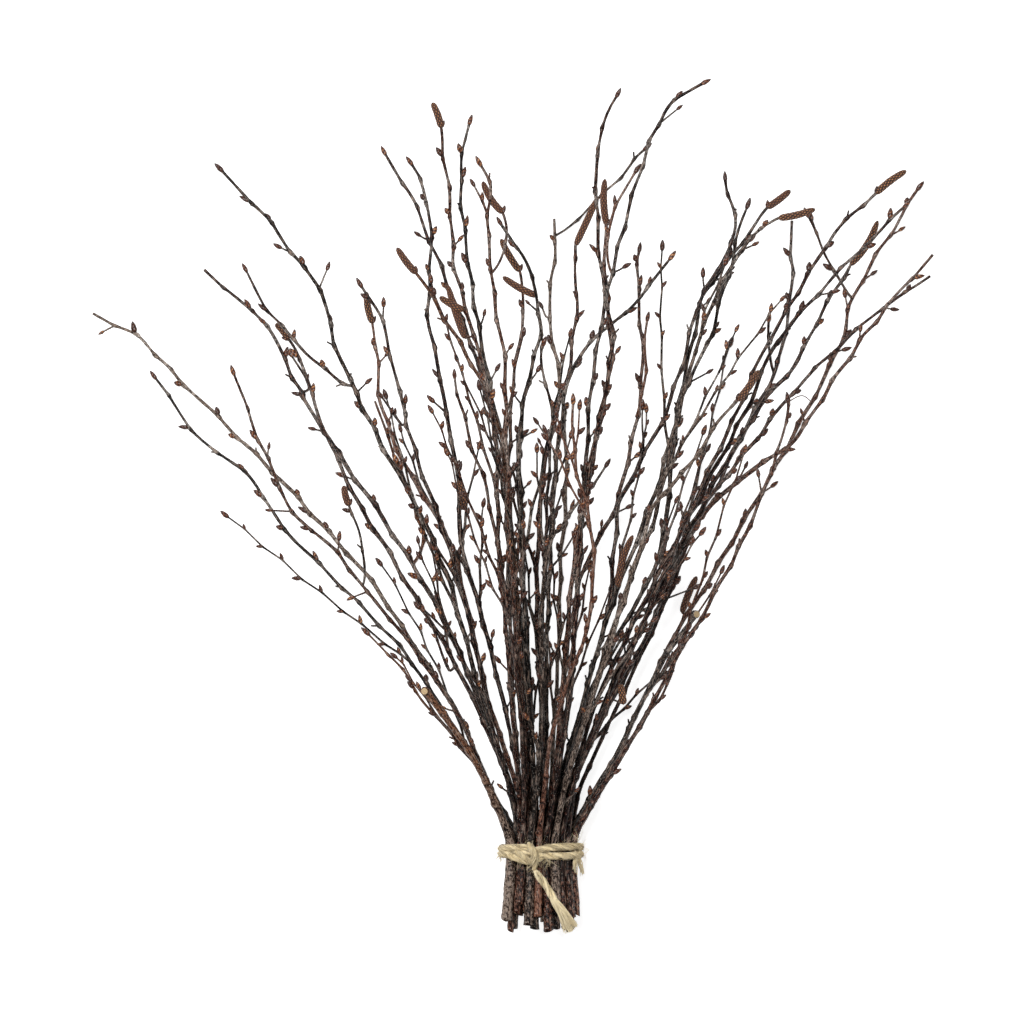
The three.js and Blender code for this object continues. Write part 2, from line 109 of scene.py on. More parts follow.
# What grows from the twigs in plain sight: its kind, and the places that it passes, [right, up the bundle] in
# millimetres. A bud has only the place of its tip, and a stump only that of its cut.
GROWTH = {
    "twig_01": [("bud", [-184, 216.5]), ("bud", [-153.5, 197]), ("bud", [-135.5, 166])],
    "twig_02": [("bud", [-143, 271]), ("bud", [-129, 256]), ("bud", [-128, 233.5]),
                ("shoot", [-118, 236], [-126, 251.5])],
    "twig_04": [("spur", [3, 272], [1, 276.5])],
    "twig_05": [("bud", [123.5, 307.5])],
    "twig_06": [("catkin", [72, 121.5], [79.5, 140])],
    "twig_06_shoot": [("spur", [140, 315], [138, 321])],
    "twig_07": [("bud", [-206.5, 269.5]), ("bud", [-185, 238]), ("bud", [-158, 212]),
                ("bud", [-123.5, 184.5])],
    "twig_08": [("shoot", [-47.5, 111], [-49.5, 122], [-52.5, 138]),
                ("shoot", [-46.5, 92], [-52.5, 109.5], [-56.5, 117.5], [-61, 123.5])],
    "twig_09": [("bud", [-85, 261])],
    "twig_16": [("bud", [-149.5, 330.5]), ("bud", [-138.5, 323]), ("bud", [-106.5, 272.5]),
                ("spur", [-111, 284.5], [-107.5, 294.5]), ("spur", [-93, 232.5], [-88, 237.5])],
    "twig_16_shoot": [("bud", [-141, 276.5]), ("bud", [-124, 264.5])],
    "twig_17": [("shoot", [-48, 222], [-53.5, 228]), ("catkin", [-38.5, 174], [-41.5, 188.5])],
    "twig_19": [("bud", [26.5, 265])],
    "twig_21": [("spur", [99, 187.5], [103, 195])],
    "twig_22": [("stump", [79, 121])],
    "twig_23": [("spur", [-125, 173.5], [-135.5, 173.5]), ("spur", [-87.5, 132], [-94, 130])],
    "twig_23_shoot": [("bud", [-100, 174.5])],
    "twig_24": [("shoot", [-70, 216.5], [-79.5, 230]), ("spur", [-69, 222], [-68, 227.5])],
    "twig_28": [("spur", [75, 237.5], [83.5, 242.5]), ("bud", [90.5, 265]),
                ("catkin", [39, 135], [46.5, 161]),
                ("shoot", [83.5, 258], [86, 261.5], [90.5, 283], [97.5, 301], [104, 308])],
    "twig_30": [("shoot", [54.5, 70.5], [65, 86.5], [70, 104.5]), ("spur", [110.5, 182.5], [109.5, 190.5]),
                ("curl", [124, 228], [131, 231], [136, 227.5])],
    "twig_31": [("stump", [-58.5, 82.5])],
    "twig_32": [("bud", [-13, 53.5]), ("catkin", [-38.5, 273.5], [-50.5, 280]),
                ("catkin", [-38, 259.5], [-46.5, 286])],
    "twig_33": [("shoot", [-27, 320.5], [-33, 334.5])],
    "twig_35": [("catkin", [-2, 280.5], [-19, 290])],
    "twig_36": [("spur", [59, 365.5], [67.5, 372.5]), ("bud", [70, 381])],
    "twig_36_shoot": [("bud", [36.5, 329.5])],
    "twig_37": [("shoot", [76, 253], [82.5, 273.5], [91.5, 295.5])],
    "twig_38": [("spur", [24.5, 67.5], [22.5, 72])],
    "twig_41": [("stub", [-1, 10], [-1.5, 12])],
    "twig_42": [("bud", [28, 353.5])],
    "twig_43": [("spur", [12.5, 26.5], [17.5, 31.5]), ("bud", [98, 229])],
    "twig_44": [("catkin", [42, 76], [40.5, 86])],
}

# What grows at the nodes that are left to chance, and how often: in the upper fan, in the lower fan and near
# the tie. Each row has the height that it starts at, in metres.
KINDS = ["scar", "bud", "spur", "stub", "shoot", "branch"]
KIND_WEIGHTS = [(150 * MM, [36, 36, 12, 16, 2, 0]), (70 * MM, [46, 18, 8, 22, 2, 0]),
                (-math.inf, [64, 7, 1, 28, 0, 0])]
# Shoots and branches grow only this near to the middle and below this height, and branches in their zone.
FORKS_WITHIN, FORKS_BELOW = 75 * MM, 300 * MM
BRANCH_ZONE = (30 * MM, 210 * MM)
BRANCH_WEIGHT = 10
# Random nodes keep this far from a twig's foot, a shoot's foot, a tip and a placed node.
BARE_FOOT, BARE_SHOOT_FOOT, BARE_TIP, NODE_ROOM = 45 * MM, 4 * MM, 6 * MM, 7 * MM
# Below this height the nodes are this many times further apart.
LOW_TWIG, LOW_SPACING = 80 * MM, 1.25
# The kinks start at this height, and are full this much higher up.
KINK_START, KINK_RISE = 40 * MM, 120 * MM
# How far above its foot a bud's tip is, as a share of its length.
BUD_REACH = 0.75

# Side growth: radii at its foot and at its tip, in metres.
SPUR_RADII = (0.62 * MM, 0.5 * MM)
SHOOT_RADII = (0.7 * MM, 0.5 * MM)
PLACED_SHOOT_RADII = (0.85 * MM, 0.55 * MM)
CURL_RADII = (0.35 * MM, 0.22 * MM)
BRANCH_TIP = 0.5 * MM
STALK_RADIUS = 0.55 * MM
STUMP_RADIUS, STUMP_HEIGHT = 1.9 * MM, 3 * MM
# Lengths of side growth in millimetres, from the shortest to the longest.
SIDE_LENGTHS = {"spur": (2.5, 6.5), "stub": (1.5, 3.5), "shoot": (14, 30), "branch": (40, 105)}
# How far side growth leans away from its twig, in radians.
SIDE_LEANS = {"bud": (0.28, 0.6), "spur": (0.5, 1.0), "stub": (0.5, 1.0), "shoot": (0.45, 0.7),
              "branch": (0.16, 0.36)}
# Distances between the rings of fine and of coarser side growth, and of twine where it is laid out.
FINE_STEP, COARSE_STEP = 0.5 * MM, 1.2 * MM
# Sides of the thin shoots, spurs and stalks.
THIN_SIDES = 6
# Twigs whose tips are between these, in metres across, have their buds in the middle piece.
MIDDLE_OF_FAN = (-50 * MM, 60 * MM)
# Buds on a thin shoot, in millimetres: from its foot to the first, from one to the next, and its bare tip.
FIRST_BUD, NEXT_BUD, BARE_END = (5, 9), (9, 17), 4

# The twine's long end, with the same points as its solid: off the knot and along the cut ends. Millimetres.
TAIL = [[-3.2, -8, 29.6], [-1, -11, 28.6], [2.2, -15.2, 28], [5.4, -20.6, 27.9], [8.6, -26.4, 27.6],
        [11.8, -32.4, 27], [14.8, -39.4, 26]]
# The lock of fibres that leaves the long end's brush to the right.
SIDE_LOCK = [[4.6, -18.8, 28], [7.6, -23.6, 27.9], [11.4, -28.4, 27.4], [15, -32.6, 26.6],
             [18.2, -36.6, 25.4]]
# The two locks of the short end, which hangs beside the cut ends.
SHORT_ENDS = [[[19.4, 2, 18.5], [19.8, -3, 18], [20.6, -7, 15.6], [21.4, -11.4, 12.6]],
              [[17.6, 1, 22], [17.6, -3.4, 21], [17.4, -7.4, 19], [17.8, -11.8, 16.4]]]
# The knot's strands: the thickness of each and its route, [right, up, above the middle of the turns], in
# millimetres.
KNOT = [
    (3.2, [[-5.6, 5.2, 0.4], [-4.6, 3.2, 2.2], [-3.2, 0.6, 3], [-2.8, -2.4, 2.8], [-3.2, -5.2, 1.6],
           [-3, -7.6, 0.2]]),
    (3.4, [[-16, -0.6, 0.6], [-12, -2.2, 1.4], [-8.4, -3.2, 1.7], [-4.8, -3.8, 1.4], [-1.6, -2.6, 1.2],
           [1.4, -1, 0.4]]),
    (2.6, [[-12.6, 1.4, 0.8], [-9.6, -0.4, 1.6], [-6.6, -2.8, 2.2], [-4.4, -4.8, 1.4]]),
]
# No loose fibre comes lower than this.
LOWEST_FIBRE = 0.3 * MM
# Where the turns' fibres stand out in tufts, in millimetres, and which way.
TUFTS = [([18.4, 6, 17], [0.15, 1, 0.2]), ([-20, -1, 15], [-0.3, -1, 0.1]), ([3, -2.6, 30], [0.3, -1, 0.1])]

# How far the floor's face lies below the bundle, so that the two don't share a plane.
FLOOR_GAP = 0.2 * MM


# Lines and tubes

def unit(vectors):
    return vectors / np.maximum(np.linalg.norm(vectors, axis=-1, keepdims=True), 1e-12)


def lengths_along(points):
    """How far along a line each of its points is."""
    return np.concatenate([[0], np.cumsum(np.linalg.norm(np.diff(points, axis=0), axis=1))])


def between_rows(places, known, rows):
    """Rows of numbers at places between the known ones."""
    return np.stack([np.interp(places, known, column) for column in rows.T], axis=1)


def in_metres(places):
    """Places that are given in millimetres."""
    return np.array(places) * MM


class Line:
    """A centreline with a radius at each point, the way along it and two ways across it. Metres."""

    def __init__(self, points, radii, up=UP):
        self.points = np.asarray(points, float)
        self.radii = np.broadcast_to(np.asarray(radii, float), len(self.points)).copy()
        self.lengths = lengths_along(self.points)
        self.along = unit(np.gradient(self.points, axis=0))
        if abs(self.along[0] @ up) > NEARLY_ALONG:
            up = np.array([0.0, 1.0, 0.0])
        self.up = np.empty_like(self.points)
        for i, way in enumerate(self.along):
            up = unit(up - way * (up @ way))
            self.up[i] = up
        self.side = np.cross(self.along, self.up)

    @property
    def length(self):
        return self.lengths[-1]

    def index(self, length):
        return int(np.clip(np.searchsorted(self.lengths, length), 0, len(self.lengths) - 1))

    def outward(self, i, angle):
        return self.up[i] * math.cos(angle) + self.side[i] * math.sin(angle)

    def nearest(self, place):
        """The index of the point that is nearest to a place, seen from above."""
        return int(np.argmin(np.linalg.norm(self.points[:, :2] - np.asarray(place[:2]), axis=1)))

    def moved(self, offsets):
        return Line(self.points + offsets, self.radii, self.up[0])


def resampled(points, radii, step):
    """The same line with points a step apart."""
    points = np.asarray(points, float)
    lengths = lengths_along(points)
    places = np.linspace(0, lengths[-1], max(3, round(lengths[-1] / step) + 1))
    radii = np.broadcast_to(np.asarray(radii, float), len(points))
    return between_rows(places, lengths, points), np.interp(places, lengths, radii)


def softened(points, rounds):
    """Rounds off a line's corners. Its ends stay."""
    points = points.copy()
    for _ in range(rounds):
        points[1:-1] += (points[:-2] + points[2:] - 2 * points[1:-1]) / 4
    return points


def curve_through(places, step):
    """A smooth line through a few places, with handles a third as long as each span."""
    places = [Vector(p) for p in places]
    ways = [places[min(i + 1, len(places) - 1)] - places[max(i - 1, 0)] for i in range(len(places))]
    made = []
    for i in range(len(places) - 1):
        start, end = places[i], places[i + 1]
        reach = (end - start).length / 3
        count = max(3, math.ceil((end - start).length / step) + 1)
        handles = [start + ways[i].normalized() * reach, end - ways[i + 1].normalized() * reach]
        made += [list(p) for p in interpolate_bezier(start, *handles, end, count)[:-1]]
    return np.array([*made, list(places[-1])])


def new_mesh():
    made = bmesh.new()
    made.loops.layers.uv.new("UVMap")
    made.verts.layers.float.new("tone")
    return made


def angles_round(sides):
    """The angles of a ring's points from its upward way. They start underneath, where the seam is."""
    return math.pi + np.arange(sides) * 2 * math.pi / sides


def sweep(bm, line, sides, relief=1.0, slant=(0.0, 0.0), tone=0.5, run=None):
    """Rolls a grid up into a tube round a line, closed at both ends.

    relief multiplies the radii, at each ring or at each point of it. slant is how steep the first end is cut,
    and the angle that its longest side faces. run is what the UV map counts up to along the tube, which is
    otherwise its length in centimetres.
    """
    rings = len(line.points)
    grid = bmesh.ops.create_grid(bm, x_segments=sides, y_segments=rings + 1, size=1, calc_uvs=True)["verts"]
    angles = angles_round(sides)
    relief = np.asarray(relief, float)
    if relief.ndim == 1:
        relief = relief[:, None]
    reach = (line.radii[:, None] * relief * np.ones((rings, sides)))[..., None]
    across = np.cos(angles)[:, None] * line.up[:, None, :] + np.sin(angles)[:, None] * line.side[:, None, :]
    spots = line.points[:, None, :] + across * reach
    steep, facing = slant
    spots[0] -= line.along[0] * (np.cos(angles - facing) * line.radii[0] * steep)[:, None]
    spots[..., 2] = np.maximum(spots[..., 2], 0)
    poles = [np.repeat(ring.mean(0)[None], sides, 0) for ring in (spots[0], spots[-1])]
    table = np.concatenate([poles[0][None], spots, poles[1][None]])
    counts = np.concatenate([line.lengths[:1], line.lengths, line.lengths[-1:]])
    counts = counts / CM if run is None else counts / line.length * run
    uv = bm.loops.layers.uv.active
    tones = bm.verts.layers.float["tone"]
    for k, vert in enumerate(grid):
        row, column = divmod(k, sides + 1)
        vert.co = table[row, column % sides]
        vert[tones] = tone
        for loop in vert.link_loops:
            loop[uv].uv = (column / sides, counts[row])
    return grid


def make_piece(name, bm, material, stands_for=()):
    """Turns a finished mesh into a piece of the object."""
    bmesh.ops.remove_doubles(bm, verts=bm.verts, dist=SAME_POINT)
    mesh = bpy.data.meshes.new(name)
    bm.to_mesh(mesh)
    bm.free()
    mesh.shade_smooth()
    mesh.materials.append(material)
    piece = bpy.data.objects.new(name, mesh)
    bpy.context.scene.collection.objects.link(piece)
    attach(piece, BODY)
    if stands_for:
        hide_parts(*stands_for)
    return piece


# Materials

class Finish:
    """A procedural material, with short ways to add its nodes."""

    def __init__(self, name, roughness, specular=0.5, sheen=0.0):
        self.material = bpy.data.materials.new(name)
        self.material.use_nodes = True
        self.nodes = self.material.node_tree.nodes
        self.links = self.material.node_tree.links
        self.shader = self.nodes["Principled BSDF"]
        self.shader.inputs["Roughness"].default_value = roughness
        self.shader.inputs["Specular IOR Level"].default_value = specular
        self.shader.inputs["Sheen Weight"].default_value = sheen
        coordinates = self.nodes.new("ShaderNodeTexCoord")
        self.object = coordinates.outputs["Object"]
        self.uv = coordinates.outputs["UV"]

    def put(self, node, socket, value):
        if isinstance(value, bpy.types.NodeSocket):
            self.links.new(value, node.inputs[socket])
        else:
            node.inputs[socket].default_value = value

    def scaled(self, vector, scale):
        node = self.nodes.new("ShaderNodeMapping")
        self.put(node, "Vector", vector)
        node.inputs["Scale"].default_value = scale
        return node.outputs["Vector"]

    def noise(self, vector, scale, detail=3.0, roughness=0.55):
        node = self.nodes.new("ShaderNodeTexNoise")
        self.put(node, "Vector", vector)
        self.put(node, "Scale", scale)
        self.put(node, "Detail", detail)
        self.put(node, "Roughness", roughness)
        return node.outputs["Fac"]

    def specks(self, vector, scale):
        node = self.nodes.new("ShaderNodeTexVoronoi")
        self.put(node, "Vector", vector)
        self.put(node, "Scale", scale)
        return node.outputs["Distance"]

    def math(self, operation, a, b=0.0):
        node = self.nodes.new("ShaderNodeMath")
        node.operation = operation
        self.put(node, 0, a)
        self.put(node, 1, b)
        return node.outputs[0]

    def plus(self, a, b):
        return self.math("ADD", a, b)

    def times(self, a, b):
        return self.math("MULTIPLY", a, b)

    def between(self, value, low, high, start=0.0, end=1.0):
        node = self.nodes.new("ShaderNodeMapRange")
        self.put(node, "Value", value)
        for socket, number in zip(("From Min", "From Max", "To Min", "To Max"), (low, high, start, end)):
            self.put(node, socket, number)
        return node.outputs["Result"]

    def blend(self, share, a, b):
        node = self.nodes.new("ShaderNodeMix")
        node.data_type = "RGBA"
        for socket, value in ((0, share), (6, a), (7, b)):
            self.put(node, socket, (*value, 1) if isinstance(value, tuple) else value)
        return node.outputs[2]

    def ramp(self, value, *stops):
        node = self.nodes.new("ShaderNodeValToRGB")
        self.put(node, "Fac", value)
        elements = node.color_ramp.elements
        while len(elements) < len(stops):
            elements.new(0.5)
        for element, (place, colour) in zip(elements, stops):
            element.position = place
            element.color = (*colour, 1)
        return node.outputs["Color"]

    def parts(self, vector):
        node = self.nodes.new("ShaderNodeSeparateXYZ")
        self.put(node, 0, vector)
        return node.outputs

    def attribute(self, name):
        node = self.nodes.new("ShaderNodeAttribute")
        node.attribute_name = name
        return node.outputs["Fac"]

    def colour(self, value):
        self.put(self.shader, "Base Color", value)

    def bump(self, height, distance, strength=1.0):
        node = self.nodes.new("ShaderNodeBump")
        self.put(node, "Height", height)
        node.inputs["Distance"].default_value = distance
        node.inputs["Strength"].default_value = strength
        self.links.new(node.outputs["Normal"], self.shader.inputs["Normal"])


def linear(code):
    """A colour code such as #4a3029 as linear values."""
    parts = [int(code[k:k + 2], 16) / 255 for k in (1, 3, 5)]
    return tuple(c / 12.92 if c <= 0.04045 else ((c + 0.055) / 1.055) ** 2.4 for c in parts)


def bark_finish(name, dark, middle, pale, film):
    """Bark, darkest at the tie, where the dark is painted shade among the crowded stems, and paler higher up.
    It has a silvery film, pale lines that are partly film and partly painted highlights, and small pale
    pores. Some twigs are orange-brown.
    """
    # Heights in metres. Round the tie, between the starts of these two spans, the bark is darkest: that dark
    # is painted shade among the crowded stems. Higher up and on the butts below it is paler.
    paler_above_tie_shade, paler_below_tie_shade = (20 * MM, 160 * MM), (-6 * MM, -20 * MM)
    film_above, rust_above = (40 * MM, 200 * MM), (10 * MM, 50 * MM)
    rusty_hues = (0.91, 0.95)
    finish = Finish(name, roughness=0.5, specular=0.16)
    height = finish.parts(finish.object)["Y"]
    # light is the share of paler bark: 0 at the tie, which is the painted shade there, and more above and
    # below it.
    light = finish.math("MAXIMUM", finish.between(height, *paler_above_tie_shade),
                        finish.between(height, *paler_below_tie_shade, 0, 2))
    tone = finish.attribute("tone")
    patches = finish.noise(finish.object, 90, detail=4)
    streaks = finish.noise(finish.scaled(finish.uv, (6, 2.2, 1)), 2.4, detail=6, roughness=0.7)
    grain = finish.noise(finish.object, 1500, detail=3)
    base = finish.plus(finish.times(light, 0.17), finish.between(streaks, 0.42, 0.62, -0.16, 1.08))
    base = finish.plus(base, finish.between(tone, 0, 1, -0.66, 0.18))
    coat = finish.ramp(base, (0.1, dark), (0.5, middle), (0.95, pale))
    rusty = finish.ramp(base, (0.05, linear("#190b07")), (0.5, linear("#442618")), (0.95, linear("#7d5338")))
    hue = finish.math("FRACT", finish.times(tone, 7.0))
    rust = finish.times(finish.between(hue, *rusty_hues, 0.0, 0.85), finish.between(height, *rust_above))
    coat = finish.blend(rust, coat, rusty)
    silver = finish.times(finish.between(patches, 0.5, 0.62), finish.between(streaks, 0.46, 0.56))
    silver = finish.times(silver, finish.between(height, *film_above, 0.12, 1.0))
    silver = finish.times(silver, finish.between(hue, *rusty_hues, 1.0, 0.3))
    coat = finish.blend(finish.times(silver, film), coat, linear("#c6bab0"))
    # Pale lines along the bark: partly the silvery film in streaks, partly painted highlights along the
    # stems.
    film_lines_and_highlights = finish.noise(finish.scaled(finish.uv, (7, 1.1, 1)), 1.3, detail=4)
    coat = finish.blend(finish.between(film_lines_and_highlights, 0.54, 0.66, 0.0, 0.6), coat, linear("#a08a7c"))
    pores = finish.specks(finish.scaled(finish.uv, (7, 6.5, 1)), 1.0)
    pore = finish.times(finish.between(pores, 0.2, 0.1), finish.between(grain, 0.42, 0.52))
    finish.colour(finish.blend(finish.times(pore, 0.75), coat, linear("#cfc6bb")))
    rough = finish.plus(finish.times(streaks, 0.4), finish.times(pore, 0.3))
    finish.put(finish.shader, "Roughness", finish.plus(rough, 0.08))
    relief = finish.plus(finish.times(grain, 0.6), streaks)
    finish.bump(finish.plus(relief, finish.times(pore, 1.2)), 0.3 * MM, 0.9)
    return finish.material


def bud_finish(looks):
    """Brown bud scales, tan in their middles, with dark edges, a dark foot and a dark tip."""
    finish = Finish("bud_scales", roughness=0.36)
    u, v = finish.parts(finish.uv)["X"], finish.parts(finish.uv)["Y"]
    tone = finish.attribute("tone")
    spiral = finish.math("SUBTRACT", finish.times(v, 2.6), finish.times(u, 2))
    scale = finish.math("FRACT", spiral)
    middle = finish.math("MINIMUM", finish.between(scale, 0.05, 0.45), finish.between(scale, 1.0, 0.6))
    mottle = finish.noise(finish.object, 800, detail=4)
    share = finish.times(middle, finish.between(mottle, 0.35, 0.6, 0.25, 1.0))
    share = finish.times(share, finish.between(tone, 0, 1, 0.15, 1.0))
    body = finish.ramp(share, (0.0, looks.dark_colour), (0.45, linear("#65361e")),
                       (1.0, looks.light_colour))
    ends = finish.math("MAXIMUM", finish.between(v, 0.78, 1.0), finish.between(v, 0.18, 0.0))
    finish.colour(finish.blend(finish.times(ends, 0.85), body, linear("#24130d")))
    finish.bump(finish.plus(middle, mottle), 0.2 * MM)
    return finish.material


def catkin_finish(looks):
    """Small pointed scales in spirals: tan at their edges, dark between them, and near-black where they sink
    in, which is painted shade in the crevices.
    """
    finish = Finish("catkin_scales", roughness=0.6)
    u, v = finish.parts(finish.uv)["X"], finish.parts(finish.uv)["Y"]
    turn = finish.times(u, math.pi * looks.scales_around)
    rise = finish.times(v, math.pi)
    wave = finish.times(finish.math("COSINE", finish.plus(turn, rise)),
                       finish.math("COSINE", finish.math("SUBTRACT", turn, rise)))
    hump = finish.math("ABSOLUTE", wave)
    mottle = finish.noise(finish.object, 1100, detail=4)
    hump = finish.plus(hump, finish.between(mottle, 0.3, 0.7, -0.25, 0.25))
    # The near-black at the bottom of the ramp, where the scales sink in, is painted shade in the crevices
    # between them.
    body = finish.ramp(hump, (0.1, linear("#1a0c07")), (0.5, looks.dark_colour),
                       (1.0, looks.light_colour))
    tone = finish.attribute("tone")
    finish.colour(finish.blend(finish.between(tone, 0, 1, 0.5, 0.0), body, linear("#4e2c20")))
    finish.bump(hump, 0.3 * MM)
    return finish.material


def cut_finish():
    """Freshly cut wood with a darker pith and rings."""
    finish = Finish("cut_wood_end", roughness=0.85, specular=0.3)
    grain = finish.noise(finish.object, 1500, detail=4)
    rings = finish.math("FRACT", finish.times(finish.attribute("tone"), 3.0))
    wood = finish.ramp(finish.plus(finish.times(grain, 0.7), finish.times(rings, 0.25)),
                       (0.2, linear("#8d7356")), (0.55, linear("#c3aa84")), (0.9, linear("#dccaa6")))
    finish.colour(wood)
    finish.bump(grain, 0.15 * MM)
    return finish.material


def jute_finish(looks):
    """Pale hairy fibres that wind along the strand."""
    finish = Finish("jute_fibres", roughness=0.95, specular=0.2, sheen=0.3)
    fibres = finish.noise(finish.scaled(finish.uv, (9, 1.6, 1)), 2.5, detail=6, roughness=0.7)
    patches = finish.noise(finish.object, 160, detail=3)
    share = finish.plus(finish.times(fibres, 0.8), finish.times(patches, 0.35))
    tone = finish.between(finish.attribute("tone"), 0, 1, -0.25, 0.28)
    finish.colour(finish.ramp(finish.plus(share, tone), (0.3, looks.dark_colour),
                              (0.58, looks.colour), (0.85, looks.light_colour)))
    finish.bump(fibres, 0.35 * MM)
    return finish.material


# Twigs

def solid_line(node):
    """The rings of a twig's solid from its foot to its tip, as their centres and radii."""
    bm = bmesh.new()
    bm.from_mesh(frame["nodes"][node].data)
    bmesh.ops.remove_doubles(bm, verts=bm.verts, dist=SAME_SOLID_POINT)
    poles = [vert for vert in bm.verts if is_pole(vert)]
    foot = min(poles, key=lambda vert: vert.co.y)
    seen, ring = {foot}, [foot]
    centres, radii = [], []
    while True:
        ring = sorted({edge.other_vert(vert) for vert in ring for edge in vert.link_edges} - seen,
                      key=lambda vert: vert.index)
        if len(ring) < 2:
            break
        seen.update(ring)
        places = np.array([vert.co for vert in ring])
        centres.append(places.mean(0))
        radii.append(np.linalg.norm(places - places.mean(0), axis=1).mean())
    bm.free()
    return np.array(centres), np.array(radii)


def is_pole(vert):
    """Whether a point is the middle of a closed end: its neighbours are an even, flat ring round it."""
    others = [edge.other_vert(vert).co - vert.co for edge in vert.link_edges]
    spans = [other.length for other in others]
    uneven, off_centre = max(spans) / min(spans), sum(others, Vector()).length / spans[0]
    return uneven < 1.08 and off_centre < 0.1


class Twig:
    """One twig of the bundle: its line, what it ends in, and what grows from it."""

    def __init__(self, node, looks):
        self.node = node
        self.rng = random.Random(node)
        centres, radii = solid_line(node)
        self.is_shoot = node.endswith("_shoot")
        catkin_foot = CATKIN_FEET.get(node)
        if radii[-2] > CATKIN_STEP * radii[-3]:
            catkin_foot = catkin_foot or (centres[-2] / MM).tolist()
            radii[-2:] = radii[-3]
        if self.is_shoot:
            centres, radii = self.rooted(centres, radii)
        points, sizes = resampled(centres, radii, looks.step)
        points = softened(points, looks.softening)
        heights, shares = np.array(GIRTH).T
        self.line = Line(points, sizes * np.interp(points[:, 1] / MM, heights, shares))
        self.catkin = None
        if catkin_foot and node not in NO_CATKIN:
            foot = self.line.nearest(in_metres(catkin_foot))
            self.catkin = (points[foot], points[-1])
            self.line = Line(points[:foot + 1], self.line.radii[:foot + 1])
        self.tone = RUSTY.get(node) or self.rng.random()
        self.nodes = self.plan_nodes(looks)
        self.bend_at_nodes(looks)

    def rooted(self, centres, radii):
        """Lets a shoot start inside the bark of its stem, where its solid stops short of it."""
        stem, _ = solid_line(self.node.removesuffix("_shoot"))
        points, _ = resampled(stem, 0, FINE_STEP)
        near = points[np.argmin(np.linalg.norm(points - centres[0], axis=1))]
        return np.concatenate([[near], centres]), np.concatenate([radii[:1], radii])

    def plan_nodes(self, looks):
        """Picks the places along the twig where something grows, or grew."""
        line, rng = self.line, self.rng
        chosen = []
        for kind, *places in GROWTH.get(self.node, []):
            places = [in_metres(place) for place in places]
            i = line.nearest(places[0])
            if kind == "bud":
                i = line.index(line.lengths[i] - BUD_REACH * looks.bud_length)
            chosen.append({"kind": kind, "length": line.lengths[i], "places": places})
        length = (BARE_SHOOT_FOOT if self.is_shoot else BARE_FOOT) + rng.uniform(0, 20) * MM
        angle = rng.choice([-1, 1]) * rng.uniform(1.2, 1.9)
        free = []
        while length < line.length - BARE_TIP:
            place = line.points[line.index(length)]
            if all(abs(length - node["length"]) > NODE_ROOM for node in chosen):
                free.append({"kind": self.pick_kind(place), "length": length, "angle": angle, "places": []})
            length += rng.uniform(0.7, 1.3) * looks.spacing * (LOW_SPACING if place[1] < LOW_TWIG else 1)
            angle = math.copysign(rng.uniform(0.9, 2.2), -angle)
        return sorted(chosen + free, key=lambda node: node["length"])

    def pick_kind(self, place):
        """What grows at a free node: mostly scars low down, buds high up, and forks in the fan's middle."""
        across, height = abs(place[0]), place[1]
        weights = dict(zip(KINDS, next(row for start, row in KIND_WEIGHTS if height > start)))
        if across > FORKS_WITHIN or height > FORKS_BELOW:
            weights["shoot"] = 0
        elif BRANCH_ZONE[0] < height < BRANCH_ZONE[1]:
            weights["branch"] = BRANCH_WEIGHT
        return self.rng.choices(KINDS, list(weights.values()))[0]

    def bend_at_nodes(self, looks):
        """Kinks the twig a little at each node, towards what grows there, and notes where that is."""
        line = self.line
        knots, pushes = [0.0], [np.zeros(3)]
        for node in self.nodes:
            i = line.index(node["length"])
            if node["places"]:
                aim = np.append(node["places"][-1][:2] - line.points[i][:2], 0)
                node["angle"] = math.atan2(aim @ line.side[i], aim @ line.up[i])
            size = looks.kink * float(np.clip((line.points[i][1] - KINK_START) / KINK_RISE, 0, 1))
            knots.append(line.lengths[i])
            pushes.append(line.outward(i, node["angle"]) * size * self.rng.uniform(0.5, 1.2))
        knots.append(line.length)
        pushes.append(np.zeros(3))
        offsets = between_rows(line.lengths, knots, np.array(pushes))
        self.line = line.moved(softened(offsets, 2))

    def relief(self, looks):
        """How the bark stands out or in: swellings at the nodes, cushions under what grows, and roughness."""
        ring_width, cushion_width, cushion_drop, cushion_size = 1.3, 1.6, 0.4, 1.6
        line, rings = self.line, len(self.line.points)
        rough = np.random.default_rng(self.rng.randrange(10**6))
        made = 1 + rough.normal(0, looks.roughness, (rings, looks.sides))
        made += np.repeat(softened(rough.normal(0, looks.unevenness, (rings, 1)), 3), looks.sides, 1)
        angles = angles_round(looks.sides)
        for node in self.nodes:
            gone = (line.lengths - node["length"]) / MM
            ring = np.exp(-((gone / ring_width) ** 2))
            cushion = np.exp(-(((gone + cushion_drop) / cushion_width) ** 2))
            facing = np.maximum(0, np.cos(angles - node["angle"])) ** 2
            share = looks.swelling * min(1, looks.slim / line.radii[line.index(node["length"])])
            made += share * (ring[:, None] + cushion_size * cushion[:, None] * facing)
        return made


def side_line(twig, node, length, lean, radii, step=MM):
    """A short line that leaves a twig at one of its nodes, leaning forwards, and curves a little."""
    inside, bend = 0.4, 0.15
    line, rng, (thick, thin) = twig.line, twig.rng, radii
    i = line.index(node["length"])
    out = line.outward(i, node["angle"])
    way = line.along[i] * math.cos(lean) + out * math.sin(lean)
    if line.points[i][2] + way[2] * length < 2 * thick:
        way[2] = abs(way[2])
    turn = unit(line.along[i] * rng.uniform(0.2, 1) + line.side[i] * rng.uniform(-0.6, 0.6))
    start = line.points[i] + out * line.radii[i] * inside
    shares = np.linspace(0, 1, max(4, round(length / step) + 1))[:, None]
    points = start + way * length * shares + turn * bend * length * shares**2
    return Line(points, thick + (thin - thick) * shares[:, 0])


